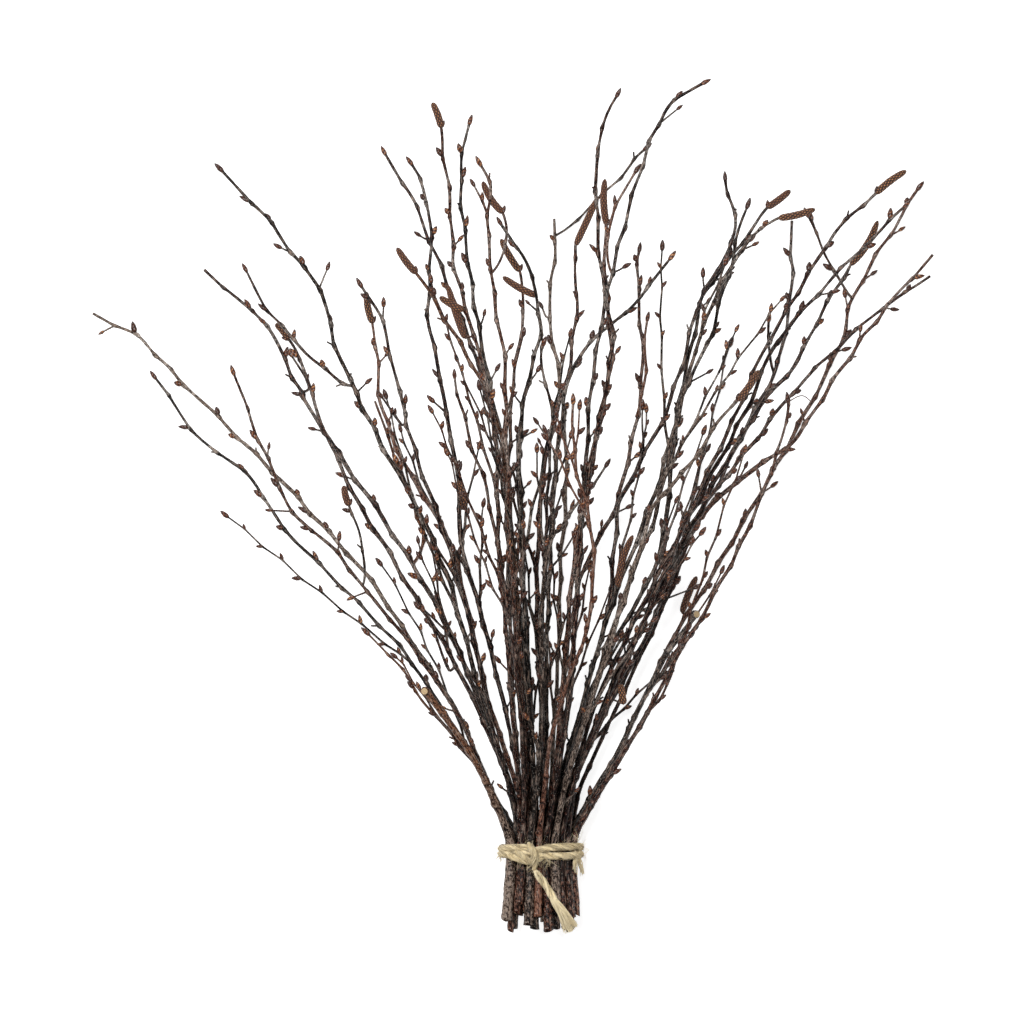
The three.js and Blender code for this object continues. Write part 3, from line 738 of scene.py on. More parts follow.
def line_to_places(twig, node, radii, step):
    """A side shoot's line through the places that it is known to pass, rising a little as it goes."""
    nearest, rise = 1.5 * MM, 0.12
    start = twig.line.points[twig.line.index(node["length"])]
    places, height = [start], start[2]
    for place in node["places"]:
        gap = float(np.linalg.norm(place - places[-1][:2]))
        if gap < nearest:
            continue
        height += rise * gap
        places.append(np.append(place, height))
    points, _ = resampled(curve_through(places, step), 0, step)
    thick, thin = radii
    return Line(points, thick + (thin - thick) * np.linspace(0, 1, len(points)))


def add_bud(meshes, base, way, length, width, tone, rng):
    """A pointed bud with a few scales that overlap in a spiral."""
    sides, turns, full, edge, bend = 8, 3.2, 1.07, 0.16, 0.07
    shares, profile = np.array(BUD_OUTLINE).T
    curl = unit(np.cross(way, [rng.uniform(-1, 1), rng.uniform(-1, 1), rng.uniform(-1, 1)]))
    points = base + way * length * shares[:, None] + curl * length * bend * shares[:, None] ** 2
    steps = (shares[:, None] * turns - np.arange(sides) / sides) % 1
    sweep(meshes, Line(points, profile * width / 2), sides, relief=full - edge * steps, tone=tone, run=1.0)


def add_bud_on(twig, node, bark, buds, looks):
    """A bud in the angle above a node."""
    rng = twig.rng
    length = looks.length * rng.uniform(0.6, 1.05)
    line = side_line(twig, node, length * 0.2, rng.uniform(*SIDE_LEANS["bud"]), SPUR_RADII)
    way = unit(line.points[-1] - line.points[0])
    base = line.points[0] + way * twig.line.radii[twig.line.index(node["length"])] * 0.5
    if node["places"]:
        tip = np.append(node["places"][-1][:2], base[2] + way[2] * length)
        way = unit(tip - base)
    add_bud(buds, base, way, length, looks.width * rng.uniform(0.75, 1.15), rng.random() ** 1.5, rng)


def ringed(line, rng, sides):
    """Relief of a short spur: close, ring-shaped scars."""
    depth, pace, rough = 0.16, 5.5, 0.06
    waves = 1 + depth * np.sin(line.lengths / MM * pace + rng.uniform(0, 6))
    uneven = np.array([[rng.uniform(-1, 1) for _ in range(sides)] for _ in waves])
    return waves[:, None] * (1 + rough * uneven)


def add_spur(twig, node, bark, buds, looks):
    """A short ringed spur with a bud at its tip, or a bare stub."""
    rng, kind = twig.rng, node["kind"]
    length = rng.uniform(*SIDE_LENGTHS[kind]) * MM
    line = side_line(twig, node, length, rng.uniform(*SIDE_LEANS[kind]), SPUR_RADII, FINE_STEP)
    if node["places"]:
        line = line_to_places(twig, node, SPUR_RADII, FINE_STEP)
    sweep(bark, line, THIN_SIDES, relief=ringed(line, rng, THIN_SIDES), tone=twig.tone)
    if kind == "spur":
        size = rng.uniform(0.6, 0.95)
        base = line.points[-1] - line.along[-1] * 0.3 * MM
        add_bud(buds, base, line.along[-1], looks.length * size, looks.width * size, rng.random(), rng)


def add_branch(twig, node, bark, buds, looks):
    """A thin branch that runs on beside its twig, and ends below the twig's tip."""
    rng, i = twig.rng, twig.line.index(node["length"])
    room = twig.line.points[-1][1] - twig.line.points[i][1]
    length = min(rng.uniform(*SIDE_LENGTHS["branch"]) * MM, 0.75 * room)
    radii = (0.8 * twig.line.radii[i], BRANCH_TIP)
    line = side_line(twig, node, length, rng.uniform(*SIDE_LEANS["branch"]), radii)
    grow_shoot(twig, line, bark, buds, looks)


def add_shoot(twig, node, bark, buds, looks):
    """A side shoot: by chance, or through the places that it is known to pass."""
    rng = twig.rng
    length = rng.uniform(*SIDE_LENGTHS["shoot"]) * MM
    line = side_line(twig, node, length, rng.uniform(*SIDE_LEANS["shoot"]), SHOOT_RADII)
    if node["places"]:
        line = line_to_places(twig, node, PLACED_SHOOT_RADII, COARSE_STEP)
    grow_shoot(twig, line, bark, buds, looks)


def add_curl(twig, node, bark):
    """A bare hair-thin shoot that curls."""
    sweep(bark, line_to_places(twig, node, CURL_RADII, 0.8 * MM), 5, tone=twig.tone)


def add_stump(twig, node, bark, bundle):
    """What is left of a thick shoot that was cut off, with its cut facing up."""
    sides, i = 8, twig.line.index(node["length"])
    foot = twig.line.points[i]
    top = np.append(node["places"][0], foot[2] + STUMP_HEIGHT)
    line = Line(curve_through([foot, top], FINE_STEP), STUMP_RADIUS, up=twig.line.along[i])
    sweep(bark, line, sides, relief=ringed(line, twig.rng, sides), tone=twig.tone)
    add_cut(bundle, line, (0, 0), at_tip=True)


def add_side_catkin(twig, node, bark, bundle, looks):
    """A catkin that lies on the twig, on a short stalk."""
    start, end = (np.append(place, 0) for place in node["places"])
    foot = twig.line.points[twig.line.index(node["length"])]
    start[2] = foot[2] + 1.5 * MM
    end[2] = start[2] + 2 * MM
    add_catkin(bundle, twig, start, end, looks)
    stalk = Line(curve_through([foot, start], 0.6 * MM), STALK_RADIUS)
    sweep(bark, stalk, THIN_SIDES, tone=twig.tone)


SIDE_MAKERS = {"bud": add_bud_on, "spur": add_spur, "stub": add_spur, "shoot": add_shoot,
               "branch": add_branch}


class Bundle:
    """The meshes that grow together while the twigs are worked through."""

    def __init__(self):
        self.buds = {}
        self.catkins = {}
        self.cuts = new_mesh()

    def bud_mesh(self, twig):
        """The mesh that takes a twig's buds, by where the twig's tip is."""
        across, (left, right) = twig.line.points[-1][0], MIDDLE_OF_FAN
        region = "left" if across < left else "middle" if across < right else "right"
        return self.buds.setdefault(region, new_mesh())


def grow_side(twig, node, bark, bundle, scene):
    """Adds what grows at one node of a twig. A scar is only in the bark's relief."""
    kind, buds = node["kind"], bundle.bud_mesh(twig)
    if kind in SIDE_MAKERS:
        SIDE_MAKERS[kind](twig, node, bark, buds, scene.bundle_buds)
    elif kind == "stump":
        add_stump(twig, node, bark, bundle)
    elif kind == "curl":
        add_curl(twig, node, bark)
    elif kind == "catkin":
        add_side_catkin(twig, node, bark, bundle, scene.bundle_catkins)


def grow_shoot(twig, line, bark, buds, looks):
    """A thin side shoot with buds of its own and one at its tip."""
    rng, swelling = twig.rng, 0.35
    knots = []
    length = rng.uniform(*FIRST_BUD) * MM
    angle = rng.uniform(1.2, 1.9)
    while length < line.length - BARE_END * MM:
        knots.append((length, angle))
        length += rng.uniform(*NEXT_BUD) * MM
        angle = -angle + rng.uniform(-0.3, 0.3)
    stops = [0, *(place for place, _ in knots), line.length]
    leans = [0, *(math.copysign(rng.uniform(0.3, 0.8) * MM, angle) for _, angle in knots), 0]
    line = line.moved(line.side * np.interp(line.lengths, stops, leans)[:, None])
    relief = 1 + swelling * sum((np.exp(-(((line.lengths - place) / MM) ** 2)) for place, _ in knots),
                                np.zeros(len(line.points)))
    sweep(bark, line, THIN_SIDES, relief=relief, tone=twig.tone)
    for place, angle in knots:
        i = line.index(place)
        way = unit(line.along[i] + line.outward(i, angle) * rng.uniform(0.45, 0.9))
        size = rng.uniform(0.6, 0.95)
        add_bud(buds, line.points[i], way, looks.length * size, looks.width * size, rng.random(), rng)
    size = rng.uniform(0.75, 1.05)
    add_bud(buds, line.points[-1], line.along[-1], looks.length * size, looks.width * size, rng.random(), rng)


def add_catkin(bundle, twig, start, end, looks):
    """A stiff closed catkin: scales in spirals round a slightly bent spindle."""
    rng, per_scale, fewest, most_bow, sharpness = twig.rng, 4, 30, 0.07, 0.7
    shares, profile = np.array(CATKIN_OUTLINE).T
    count = max(fewest, round(float(np.linalg.norm(end - start)) / (looks.scale_length / per_scale)))
    places = np.linspace(0, 1, count)
    way = end - start
    bow = unit(np.cross(way, [rng.uniform(-0.4, 0.4), rng.uniform(-0.4, 0.4), 1.0]))
    bow *= rng.uniform(-most_bow, most_bow)
    points = start + way * places[:, None]
    points += bow * np.linalg.norm(way) * np.sin(places * math.pi)[:, None]
    line = Line(points, np.interp(places, shares, profile) * looks.width / 2)
    sides = looks.scales_around * per_scale
    turn = np.arange(sides)[None] / sides * math.pi * looks.scales_around
    rise = (line.lengths / looks.scale_length * math.pi / 2)[:, None]
    wave = np.abs(np.cos(turn + rise) * np.cos(turn - rise))
    relief = 1 - looks.relief + 2 * looks.relief * wave**sharpness
    mesh = bundle.catkins.setdefault(twig.node, new_mesh())
    sweep(mesh, line, sides, relief=relief, tone=rng.random(), run=line.length / looks.scale_length / 2)


def add_cut(bundle, line, slant, at_tip=False):
    """The bare wood on a cut end: a disc just proud of the end of the bark."""
    share, inset, beyond, proud = 0.86, 0.35, 0.02 * MM, 0.12 * MM
    steep, facing = slant
    end, sign = (-1, 1) if at_tip else (0, -1)
    radius = line.radii[end] * share
    way = line.along[end] * sign
    normal = unit(way + line.outward(end, facing) * steep * sign)
    middle = line.points[end] + way * beyond
    disc = bmesh.ops.create_circle(bundle.cuts, cap_ends=True, segments=12, radius=radius)["verts"]
    turn = Vector((0, 0, 1)).rotation_difference(Vector(normal))
    tones = bundle.cuts.verts.layers.float["tone"]
    face = disc[0].link_faces[0]
    for _ in range(2):
        bmesh.ops.inset_individual(bundle.cuts, faces=[face], thickness=radius * inset, use_even_offset=True)
        disc += [vert for vert in face.verts if vert not in disc]
    for vert in disc:
        vert[tones] = vert.co.length / radius
        place = turn @ vert.co + Vector(middle) + Vector(normal) * proud
        place.z = max(place.z, 0)
        vert.co = place


def finish_tip(twig, bundle, scene):
    """Ends a twig in a catkin with a small bud beside it, in a cut, or in a bud."""
    looks, line, rng = scene.bundle_buds, twig.line, twig.rng
    way = line.along[-1]
    if twig.catkin:
        start, end = twig.catkin
        inside = way * 0.8 * MM
        add_catkin(bundle, twig, start - inside, end, scene.bundle_catkins)
        aside = line.side[-1] * rng.choice([-1, 1]) + way * 1.4
        add_bud(bundle.bud_mesh(twig), line.points[-1] - inside, unit(aside), looks.length * 0.7,
                looks.width * 0.8, rng.random() * 0.5, rng)
    elif twig.node in CUT_TIPS:
        add_cut(bundle, line, (0, 0), at_tip=True)
    else:
        size = rng.uniform(0.9, 1.1)
        add_bud(bundle.bud_mesh(twig), line.points[-1] - way * MM, way, looks.length * size,
                looks.width * size * 0.9, rng.random(), rng)


# Kinds of setting that most of the sizes and colours share.
LengthProperty = partial(FloatProperty, unit="LENGTH")
ShareProperty = partial(FloatProperty, subtype="FACTOR")
ColourProperty = partial(FloatVectorProperty, subtype="COLOR")


class TwigLooks(bpy.types.PropertyGroup):
    """Sizes and colours of the twigs."""

    sides: IntProperty(name="Sides", description="Sides of a twig's cross-section", default=10, min=5)
    step: LengthProperty(name="Step", description="Distance between a twig's rings", default=1.4 * MM)
    softening: IntProperty(name="Softening", description="Rounds that ease a twig's bends", default=22)
    spacing: LengthProperty(name="Node spacing", description="Distance between nodes", default=14.5 * MM)
    kink: LengthProperty(name="Kink", description="How far a twig leans out at a node", default=0.75 * MM)
    swelling: ShareProperty(name="Swelling", description="How much thicker a twig is at a node", default=0.34)
    slim: LengthProperty(name="Slim twig", description="Thicker twigs than this radius swell less",
                         default=0.9 * MM)
    roughness: ShareProperty(name="Roughness", description="How rough the bark is", default=0.035)
    unevenness: ShareProperty(name="Unevenness", description="How much a twig's thickness wanders",
                              default=0.12)
    bud_length: LengthProperty(name="Bud length", description="Room kept for a bud", default=6.6 * MM)
    # The darkest bark colour also gives the painted shade among the crowded stems at the tie.
    dark_colour: ColourProperty(name="Dark bark", description="Colour of the bark near the tie",
                                default=linear("#050202"))
    colour: ColourProperty(name="Bark", description="Colour of most of the bark", default=linear("#381a13"))
    pale_colour: ColourProperty(name="Pale bark", description="Colour of the palest bark",
                                default=linear("#825b49"))
    film: ShareProperty(name="Film", description="How much the silvery film shows", default=0.5)
    # The darkest old bark colour also gives the painted shade among the crowded stems at the tie.
    old_dark_colour: ColourProperty(name="Old dark bark", description="Colour of old bark near the tie",
                                    default=linear("#050302"))
    old_colour: ColourProperty(name="Old bark", description="Colour of most of the old bark",
                               default=linear("#2e201a"))
    old_pale_colour: ColourProperty(name="Old pale bark", description="Colour of the palest old bark",
                                    default=linear("#86766a"))
    old_film: ShareProperty(name="Old film", description="How much the film shows on old bark", default=0.7)


class BudLooks(bpy.types.PropertyGroup):
    """Sizes and colours of the buds."""

    length: LengthProperty(name="Length", description="Length of a large bud", default=5.7 * MM)
    width: LengthProperty(name="Width", description="Width of a large bud", default=2.7 * MM)
    dark_colour: ColourProperty(name="Dark scales", description="Colour of the darkest buds",
                                default=linear("#2b140c"))
    light_colour: ColourProperty(name="Light scales", description="Colour of the lightest buds",
                                 default=linear("#b98250"))


class CatkinLooks(bpy.types.PropertyGroup):
    """Sizes and colours of the catkins."""

    width: LengthProperty(name="Width", description="Width of a catkin", default=3.5 * MM)
    scales_around: IntProperty(name="Scales", description="Scales round a catkin", default=7)
    scale_length: LengthProperty(name="Scale length", description="Length of one scale", default=1.25 * MM)
    relief: ShareProperty(name="Relief", description="How far the scales stand out", default=0.12)
    dark_colour: ColourProperty(name="Scale backs", description="Colour between the scales",
                                default=linear("#482717"))
    light_colour: ColourProperty(name="Scale edges", description="Colour of the scales' edges",
                                 default=linear("#ac7549"))


class TwineLooks(bpy.types.PropertyGroup):
    """Sizes and colours of the jute twine."""

    thickness: LengthProperty(name="Thickness", description="Thickness of the twine", default=3.6 * MM)
    lay: LengthProperty(name="Lay", description="Length of one full twist of the strands", default=17 * MM)
    turn_gap: LengthProperty(name="Turn gap", description="From one turn to the other", default=3.9 * MM)
    band_height: LengthProperty(name="Band height", description="Where the turns' middle is along the bundle",
                                default=1.2 * MM)
    fibres: IntProperty(name="Fibres", description="Loose fibres that lie on the two turns", default=700)
    hairs: IntProperty(name="Hairs", description="Loose fibres that stand out of the two turns", default=260)
    knot_hairs: IntProperty(name="Knot hairs", description="Loose fibres on each strand of the knot",
                            default=45)
    dark_colour: ColourProperty(name="Dark fibres", description="Colour between the fibres",
                                default=linear("#8f784e"))
    colour: ColourProperty(name="Fibres", description="Colour of most fibres", default=linear("#d6c296"))
    light_colour: ColourProperty(name="Light fibres", description="Colour of the palest fibres",
                                 default=linear("#f9e9c2"))


class StageLooks(bpy.types.PropertyGroup):
    """The floor, the lights and the camera."""

    view: LengthProperty(name="View", description="Width of the view at the bundle", default=512 * MM)
    distance: LengthProperty(name="Distance", description="From the floor up to the camera", default=3.5)
    floor_size: LengthProperty(name="Floor size", description="From the floor's middle to its edge",
                               default=6)
    floor_colour: ColourProperty(name="Floor", description="Colour of the floor", default=(0.6, 0.6, 0.6))
    floor_glow: FloatProperty(name="Floor glow", description="Light through the floor's pale paper",
                              default=0.82, min=0)
    ambient: FloatProperty(name="Ambient", description="Strength of the even light all round", default=0.18,
                           min=0)
    key: FloatProperty(name="Key light", description="Strength of the overhead light", default=30.0,
                       unit="POWER")
    key_size: LengthProperty(name="Key size", description="Width of the overhead light", default=0.6)
    key_place: FloatVectorProperty(name="Key place", description="Where the overhead light is",
                                   default=(-0.4, 0.6, 1.5), subtype="XYZ", unit="LENGTH")
    fill: FloatProperty(name="Fill light", description="Strength of the low side light", default=3.0,
                        unit="POWER")
    fill_size: LengthProperty(name="Fill size", description="Width of the low side light", default=1.0)
    fill_place: FloatVectorProperty(name="Fill place", description="Where the low side light is",
                                    default=(1.1, -0.6, 0.9), subtype="XYZ", unit="LENGTH")


class BUNDLE_OT_twigs(bpy.types.Operator):
    """Grows the bark, side shoots, buds, catkins and cut ends of every twig"""

    bl_idname = "bundle.twigs"
    bl_label = "Grow Twigs"
    bl_options = {"REGISTER", "UNDO"}

    def execute(self, context):
        scene = context.scene
        looks = scene.bundle_twigs
        barks = {
            "young_bark": bark_finish("young_birch_bark", looks.dark_colour, looks.colour, looks.pale_colour,
                                      looks.film),
            "old_bark": bark_finish("old_birch_bark", looks.old_dark_colour, looks.old_colour,
                                    looks.old_pale_colour, looks.old_film),
        }
        bundle = Bundle()
        for node in TWIGS:
            twig = Twig(node, looks)
            bark = new_mesh()
            slant = (0, 0) if twig.is_shoot else (twig.rng.uniform(0.1, 0.6), twig.rng.uniform(-1.5, 1.5))
            sweep(bark, twig.line, looks.sides, relief=twig.relief(looks), slant=slant, tone=twig.tone)
            if not twig.is_shoot:
                add_cut(bundle, twig.line, slant)
            for place in twig.nodes:
                grow_side(twig, place, bark, bundle, scene)
            finish_tip(twig, bundle, scene)
            slot = SLOT_OF[node]
            make_piece("birch_" + node, bark, barks[slot], [node])
        scales = bud_finish(scene.bundle_buds)
        for region, mesh in bundle.buds.items():
            make_piece("buds_" + region, mesh, scales)
        catkins = catkin_finish(scene.bundle_catkins)
        for node, mesh in bundle.catkins.items():
            make_piece("catkin_of_" + node, mesh, catkins)
        make_piece("cut_faces", bundle.cuts, cut_finish())
        return {"FINISHED"}


# Twine

def wound(line, rows, turn, away):
    """Places that wind round a line: how far from its points, at some of its rows."""
    return line.up[rows] * (np.cos(turn) * away)[:, None] + line.side[rows] * (np.sin(turn) * away)[:, None]


def add_strands(bm, line, thickness, lay, rng, tone=0.5, apart=0.22, radius=0.29):
    """Strands that twist round each other along a line. apart and radius are shares of the thickness."""
    plies, sides, rough = 2, 10, 0.2
    for ply in range(plies):
        turn = (line.lengths / lay + ply / plies) * 2 * math.pi
        strand = Line(line.points + wound(line, slice(None), turn, thickness * apart), thickness * radius)
        bumps = np.random.default_rng(rng.randrange(10**6)).normal(0, rough, (len(turn), sides))
        sweep(bm, strand, sides, relief=1 + softened(bumps, 3), tone=tone)


def add_hair(bm, base, way, length, rng, radius=0.07 * MM):
    """One loose fibre that stands out and curls."""
    wave_size, bend = 0.22, 0.75
    curl = unit(np.array([rng.gauss(0, 1) for _ in range(3)]))
    shares = np.linspace(0, 1, 7)[:, None]
    wave = unit(np.cross(way, curl)) * np.sin(shares * rng.uniform(2, 5)) * wave_size
    points = base + (way * shares + curl * bend * shares**2 + wave) * length
    points[:, 2] = np.maximum(points[:, 2], LOWEST_FIBRE)
    sweep(bm, Line(points, radius * (1.1 - 0.7 * shares[:, 0])), 3, tone=rng.random())


def add_fibres(bm, line, thickness, lay, rng, count):
    """Loose fibres that lie on the twine, wound with its strands, with ends that lift off a little."""
    shortest, longest, lift, radius = 10, 26, 0.14, 0.15 * MM
    for _ in range(count):
        span = rng.randint(shortest, longest)
        first = rng.randrange(max(1, len(line.points) - span))
        rows = np.arange(first, min(first + span, len(line.points)), 2)
        shares = np.linspace(-1, 1, len(rows))
        turn = line.lengths[rows] / lay * 2 * math.pi * rng.uniform(0.6, 1.3) + rng.uniform(0, 6.28)
        away = thickness * (0.46 + 0.04 * rng.random() + rng.uniform(0, lift) * np.abs(shares) ** 3)
        points = line.points[rows] + wound(line, rows, turn, away)
        points[:, 2] = np.maximum(points[:, 2], LOWEST_FIBRE)
        sweep(bm, Line(points, radius * (1.1 - 0.6 * np.abs(shares))), 3, tone=rng.random())


def band_line(thickness):
    """The middle of the twine once round the bundle, in the section across it, as closed points [x, z]."""
    step, rounds = 0.7 * MM, 6
    corners = [(vert.co.x, vert.co.z) for vert in frame["nodes"]["twine_turns"].data.vertices]
    hull = np.array([corners[i] for i in convex_hull_2d(corners)])
    closed = np.concatenate([hull, hull[:1]])
    lengths = lengths_along(closed)
    places = np.linspace(0, lengths[-1], round(lengths[-1] / step), endpoint=False)
    ring = between_rows(places, lengths, closed)
    ways = unit(np.roll(ring, -1, 0) - np.roll(ring, 1, 0))
    for _ in range(rounds):
        ways = unit(ways + np.roll(ways, 1, 0) + np.roll(ways, -1, 0))
    inward = np.stack([-ways[:, 1], ways[:, 0]], axis=1)
    if (inward * (hull.mean(0) - ring)).sum() < 0:
        inward = -inward
    return ring + inward * thickness / 2


def turns_line(looks, ring):
    """The twine's line twice round the bundle, from under the knot.

    It crosses over halfway, and its turns are closer together on the left.
    """
    crossing, crossing_span, closer, closer_span = 0.9, 0.2, 0.3, 20 * MM
    sag, sags, sag_start = 0.35 * MM, 2.5, 0.8
    low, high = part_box("twine_knot")
    middle = (low + high) / 2
    first = int(np.argmin(np.linalg.norm(ring - np.array([middle.x, middle.z]), axis=1)))
    ring = np.roll(ring, -first, 0)
    twice = np.concatenate([ring, ring, ring[:1]])
    turn = np.linspace(0, 2, len(twice))
    slope = np.clip((turn - crossing) / crossing_span, 0, 1)
    apart = 0.5 * looks.turn_gap * (1 - closer * np.clip(-twice[:, 0] / closer_span, 0, 1))
    height = looks.band_height + apart * (1 - 2 * slope * slope * (3 - 2 * slope))
    height += sag * np.sin(turn * 2 * math.pi * sags + sag_start)
    return Line(softened(np.stack([twice[:, 0], height, twice[:, 1]], axis=1), 4), 0)


def add_hairs(bm, looks, line, centre, rng):
    """Fine loose fibres all along the turns, and a few denser tufts of thicker ones."""
    tuft, scatter, spread, thick = 12, 0.7, 0.3, 0.13 * MM
    for _ in range(looks.hairs):
        i = rng.randrange(len(line.points))
        out = unit(line.points[i] - centre)
        way = unit(out * rng.uniform(0.1, 1) + line.along[i] * rng.uniform(-1, 1)
                   + np.array([0, rng.choice([-1, 1]) * rng.uniform(0, 1.2), 0]))
        base = line.points[i] + out * looks.thickness * 0.38
        add_hair(bm, base, way, rng.uniform(1.5, 6.5) * MM, rng)
    for base, way in TUFTS:
        for _ in range(tuft):
            spot = (np.array(base) + [rng.gauss(0, scatter) for _ in range(3)]) * MM
            aim = unit(np.array(way) + [rng.gauss(0, spread) for _ in range(3)])
            add_hair(bm, spot, aim, rng.uniform(3, 6.5) * MM, rng, radius=thick)


class BUNDLE_OT_twine_turns(bpy.types.Operator):
    """Winds the twine twice round the bundle and lets loose fibres stand out of it"""

    bl_idname = "bundle.twine_turns"
    bl_label = "Wind Twine"
    bl_options = {"REGISTER", "UNDO"}

    def execute(self, context):
        looks = context.scene.bundle_twine
        rng = random.Random("turns")
        ring = band_line(looks.thickness)
        line = turns_line(looks, ring)
        bm = new_mesh()
        add_strands(bm, line, looks.thickness, looks.lay, rng, tone=0.65)
        add_fibres(bm, line, looks.thickness, looks.lay, rng, count=looks.fibres)
        make_piece("jute_turns", bm, context.scene.bundle_jute, ["twine_turns"])
        hairs = new_mesh()
        add_hairs(hairs, looks, line, np.array([0, 0, ring[:, 1].mean()]), rng)
        make_piece("jute_hairs", hairs, context.scene.bundle_jute)
        return {"FINISHED"}


class BUNDLE_OT_twine_knot(bpy.types.Operator):
    """Ties the knot: one strand over both turns and two across it, with loose fibres"""

    bl_idname = "bundle.twine_knot"
    bl_label = "Tie Knot"
    bl_options = {"REGISTER", "UNDO"}

    def execute(self, context):
        looks = context.scene.bundle_twine
        rng = random.Random("knot")
        ring = band_line(looks.thickness)
        upper = ring[ring[:, 1] > ring[:, 1].mean()]
        upper = upper[np.argsort(upper[:, 0])]
        bm = new_mesh()
        for thickness, route in KNOT:
            x, y, lift = in_metres(route).T
            height = np.interp(x, upper[:, 0], upper[:, 1]) + lift
            line = Line(curve_through(np.stack([x, y, height], axis=1), FINE_STEP), 0)
            add_strands(bm, line, thickness * MM, looks.lay * 0.8, rng)
            add_fibres(bm, line, thickness * MM, looks.lay, rng, count=60)
            for _ in range(looks.knot_hairs):
                i = rng.randrange(len(line.points))
                way = unit(np.array([rng.gauss(0, 1), rng.gauss(-0.3, 1), abs(rng.gauss(0, 0.6))]))
                add_hair(bm, line.points[i] + way * thickness * 0.4 * MM, way, rng.uniform(1, 4.5) * MM, rng)
        make_piece("jute_knot", bm, context.scene.bundle_jute, ["twine_knot"])
        return {"FINISHED"}


def frayed(bm, line, first, rng, count, spread, radius=0.34 * MM, pale=0.5):
    """The fibres of an end that has come undone, from one of the line's points on."""
    golden_angle, shortest, start_size, waviness = 2.4, 6, 0.35, 0.4 * MM
    rest = np.arange(first, len(line.points))
    shares = (rest - first) / (len(rest) - 1)
    for strand in range(count):
        angle = strand * golden_angle + rng.uniform(-0.3, 0.3)
        far = spread * math.sqrt((strand + 0.5) / count) * rng.uniform(0.75, 1)
        last = len(rest) if strand % 3 == 0 else max(shortest, round(len(rest) * rng.uniform(0.8, 1)))
        size = start_size + (1 - start_size) * np.sin(shares * math.pi / 2)
        wave = waviness * np.sin(shares * rng.uniform(5, 9) + rng.uniform(0, 6))
        offsets = line.up[rest] * (math.cos(angle) * far * size + wave)[:, None]
        offsets += line.side[rest] * (math.sin(angle) * far * size + wave)[:, None]
        points = (line.points[rest] + offsets)[:last]
        thin = radius * rng.uniform(0.75, 1.15) * (1 - 0.45 * shares[:last])
        sweep(bm, Line(points, thin), 4, tone=pale + (1 - pale) * rng.random())


class BUNDLE_OT_twine_ends(bpy.types.Operator):
    """Lays out the long frayed end of the twine and lets the short one hang"""

    bl_idname = "bundle.twine_ends"
    bl_label = "Lay Twine Ends"
    bl_options = {"REGISTER", "UNDO"}

    def execute(self, context):
        looks = context.scene.bundle_twine
        rng = random.Random("ends")
        undone_from, overlap, loose_lay, path_points = 0.42, 8, 1.3 * looks.lay, 30
        route = in_metres(TAIL).tolist()
        line = Line(curve_through(route, FINE_STEP), 0)
        bm = new_mesh()
        undone = round(len(line.points) * undone_from)
        twisted = Line(line.points[:undone + overlap], 0)
        add_strands(bm, twisted, looks.thickness, loose_lay, rng, tone=0.85, apart=0.31, radius=0.225)
        frayed(bm, line, undone, rng, count=20, spread=2 * MM)
        tail = make_piece("jute_long_end", bm, context.scene.bundle_jute, ["twine_tail"])
        path = line.points[:: max(1, len(line.points) // path_points)].tolist()
        path = [*path, line.points[-1].tolist()] if path[-1] != line.points[-1].tolist() else path
        bm = new_mesh()
        add_fibres(bm, twisted, looks.thickness, loose_lay, rng, count=24)
        lock = Line(curve_through(in_metres(SIDE_LOCK), FINE_STEP), 0)
        frayed(bm, lock, 0, rng, count=26, spread=1.5 * MM, pale=0.6)
        frayed(bm, line, undone, rng, count=44, spread=2.8 * MM, pale=0.7)
        make_piece("jute_brush", bm, context.scene.bundle_jute)
        bm = new_mesh()
        for places in SHORT_ENDS:
            short = Line(curve_through(in_metres(places), 0.4 * MM), 0)
            frayed(bm, short, 0, rng, count=13, spread=1.2 * MM, radius=0.3 * MM)
        make_piece("jute_short_end", bm, context.scene.bundle_jute, ["twine_short_end"])
        return {"FINISHED"}


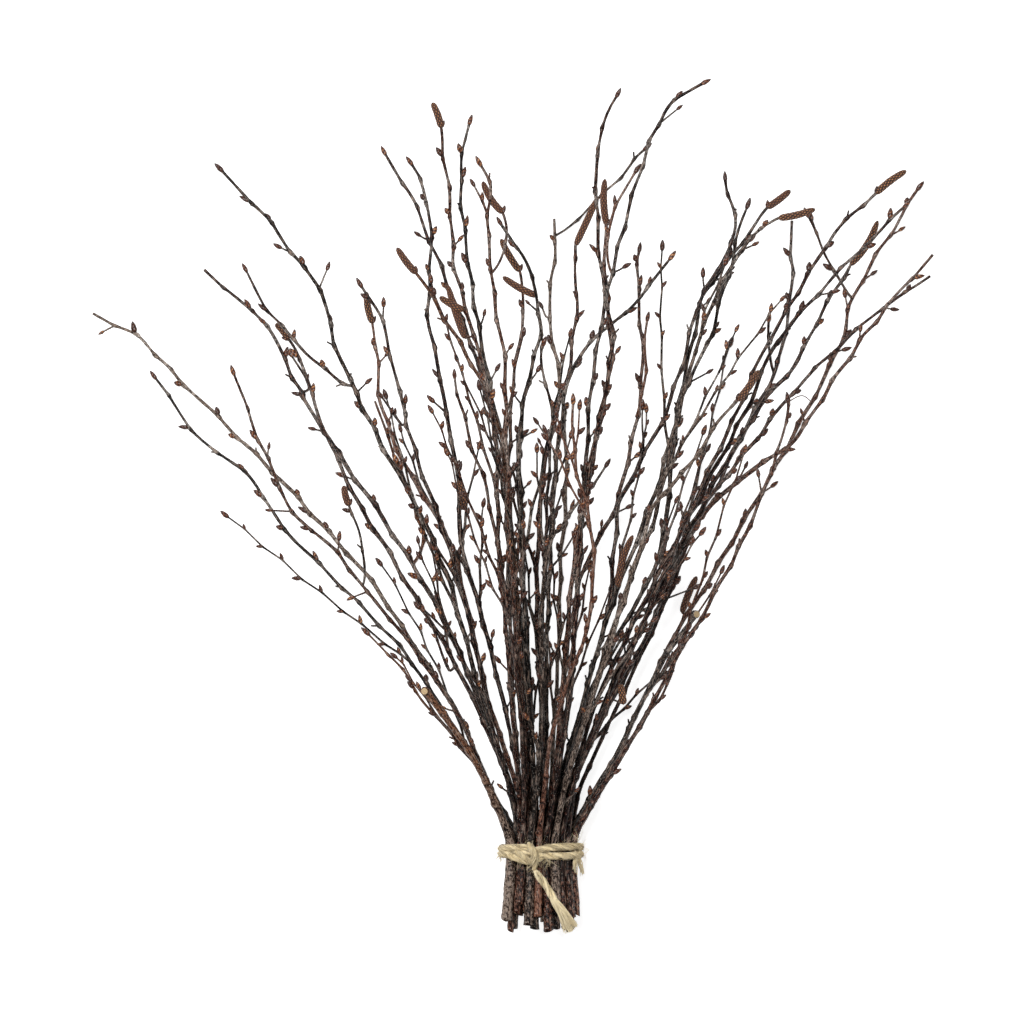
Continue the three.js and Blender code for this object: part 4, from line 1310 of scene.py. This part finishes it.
class BUNDLE_OT_stage(bpy.types.Operator):
    """Sets out the floor, the soft lights and the camera that looks down on the bundle"""

    bl_idname = "bundle.stage"
    bl_label = "Set Stage"
    bl_options = {"REGISTER", "UNDO"}

    def execute(self, context):
        looks = context.scene.bundle_stage
        scene = context.scene
        bm = bmesh.new()
        bmesh.ops.create_grid(bm, x_segments=1, y_segments=1, size=looks.floor_size)
        bmesh.ops.translate(bm, verts=bm.verts, vec=(0, 0, -FLOOR_GAP))
        mesh = bpy.data.meshes.new("floor")
        bm.to_mesh(mesh)
        bm.free()
        finish = Finish("floor_paper", roughness=0.9, specular=0.2)
        finish.colour((*looks.floor_colour, 1))
        finish.shader.inputs["Emission Color"].default_value = (1, 1, 1, 1)
        finish.shader.inputs["Emission Strength"].default_value = looks.floor_glow
        mesh.materials.append(finish.material)
        floor = bpy.data.objects.new("floor", mesh)
        scene.collection.objects.link(floor)

        low, high = (Vector(corner) for corner in CAD_BOX)
        middle = (low + high) / 2
        self.add_light("key", looks.key, looks.key_size, looks.key_place, middle)
        self.add_light("fill", looks.fill, looks.fill_size, looks.fill_place, middle)
        world = bpy.data.worlds.new("studio")
        world.use_nodes = True
        background = world.node_tree.nodes["Background"]
        background.inputs["Color"].default_value = (1, 1, 1, 1)
        background.inputs["Strength"].default_value = looks.ambient
        scene.world = world
        scene.view_settings.view_transform = "Standard"

        camera = bpy.data.cameras.new("camera")
        height = looks.distance - middle.z
        camera.lens = camera.sensor_width * height / looks.view
        camera.clip_end = looks.distance + 2 * looks.floor_size
        eye = bpy.data.objects.new("camera", camera)
        eye.location = (middle.x, middle.y, looks.distance)
        scene.collection.objects.link(eye)
        scene.camera = eye
        return {"FINISHED"}

    def add_light(self, name, energy, size, place, target):
        light = bpy.data.lights.new(name, "AREA")
        light.energy, light.size = energy, size
        lamp = bpy.data.objects.new(name, light)
        lamp.location = place
        lamp.rotation_euler = (Vector(place) - target).to_track_quat("Z", "Y").to_euler()
        bpy.context.scene.collection.objects.link(lamp)


class BUNDLE_PT_panel(bpy.types.Panel):
    """The steps that build the bundle, with their sizes and colours"""

    bl_idname = "BUNDLE_PT_panel"
    bl_label = "Bundle of Twigs"
    bl_space_type = "VIEW_3D"
    bl_region_type = "UI"
    bl_category = "Twigs"

    def draw(self, context):
        for operator in OPERATORS:
            self.layout.operator(operator.bl_idname)
        for name in SETTINGS:
            settings = getattr(context.scene, name)
            box = self.layout.box()
            for prop in settings.bl_rna.properties:
                if prop.identifier not in {"rna_type", "name"}:
                    box.prop(settings, prop.identifier)


SETTINGS = {
    "bundle_twigs": TwigLooks,
    "bundle_buds": BudLooks,
    "bundle_catkins": CatkinLooks,
    "bundle_twine": TwineLooks,
    "bundle_stage": StageLooks,
}
OPERATORS = (BUNDLE_OT_stage, BUNDLE_OT_twine_ends, BUNDLE_OT_twine_turns, BUNDLE_OT_twine_knot,
             BUNDLE_OT_twigs)


def register():
    for cls in (*SETTINGS.values(), *OPERATORS, BUNDLE_PT_panel):
        bpy.utils.register_class(cls)
    for name, cls in SETTINGS.items():
        setattr(bpy.types.Scene, name, PointerProperty(type=cls))
    bpy.types.Scene.bundle_jute = PointerProperty(type=bpy.types.Material)


def unregister():
    del bpy.types.Scene.bundle_jute
    for name in SETTINGS:
        delattr(bpy.types.Scene, name)
    for cls in reversed((*SETTINGS.values(), *OPERATORS, BUNDLE_PT_panel)):
        bpy.utils.unregister_class(cls)


def main():
    register()
    scene = bpy.context.scene
    scene.bundle_jute = jute_finish(scene.bundle_twine)
    bpy.ops.bundle.stage()
    bpy.ops.bundle.twine_ends()
    bpy.ops.bundle.twine_turns()
    bpy.ops.bundle.twine_knot()
    bpy.ops.bundle.twigs()


if __name__ == "__main__":
    main()
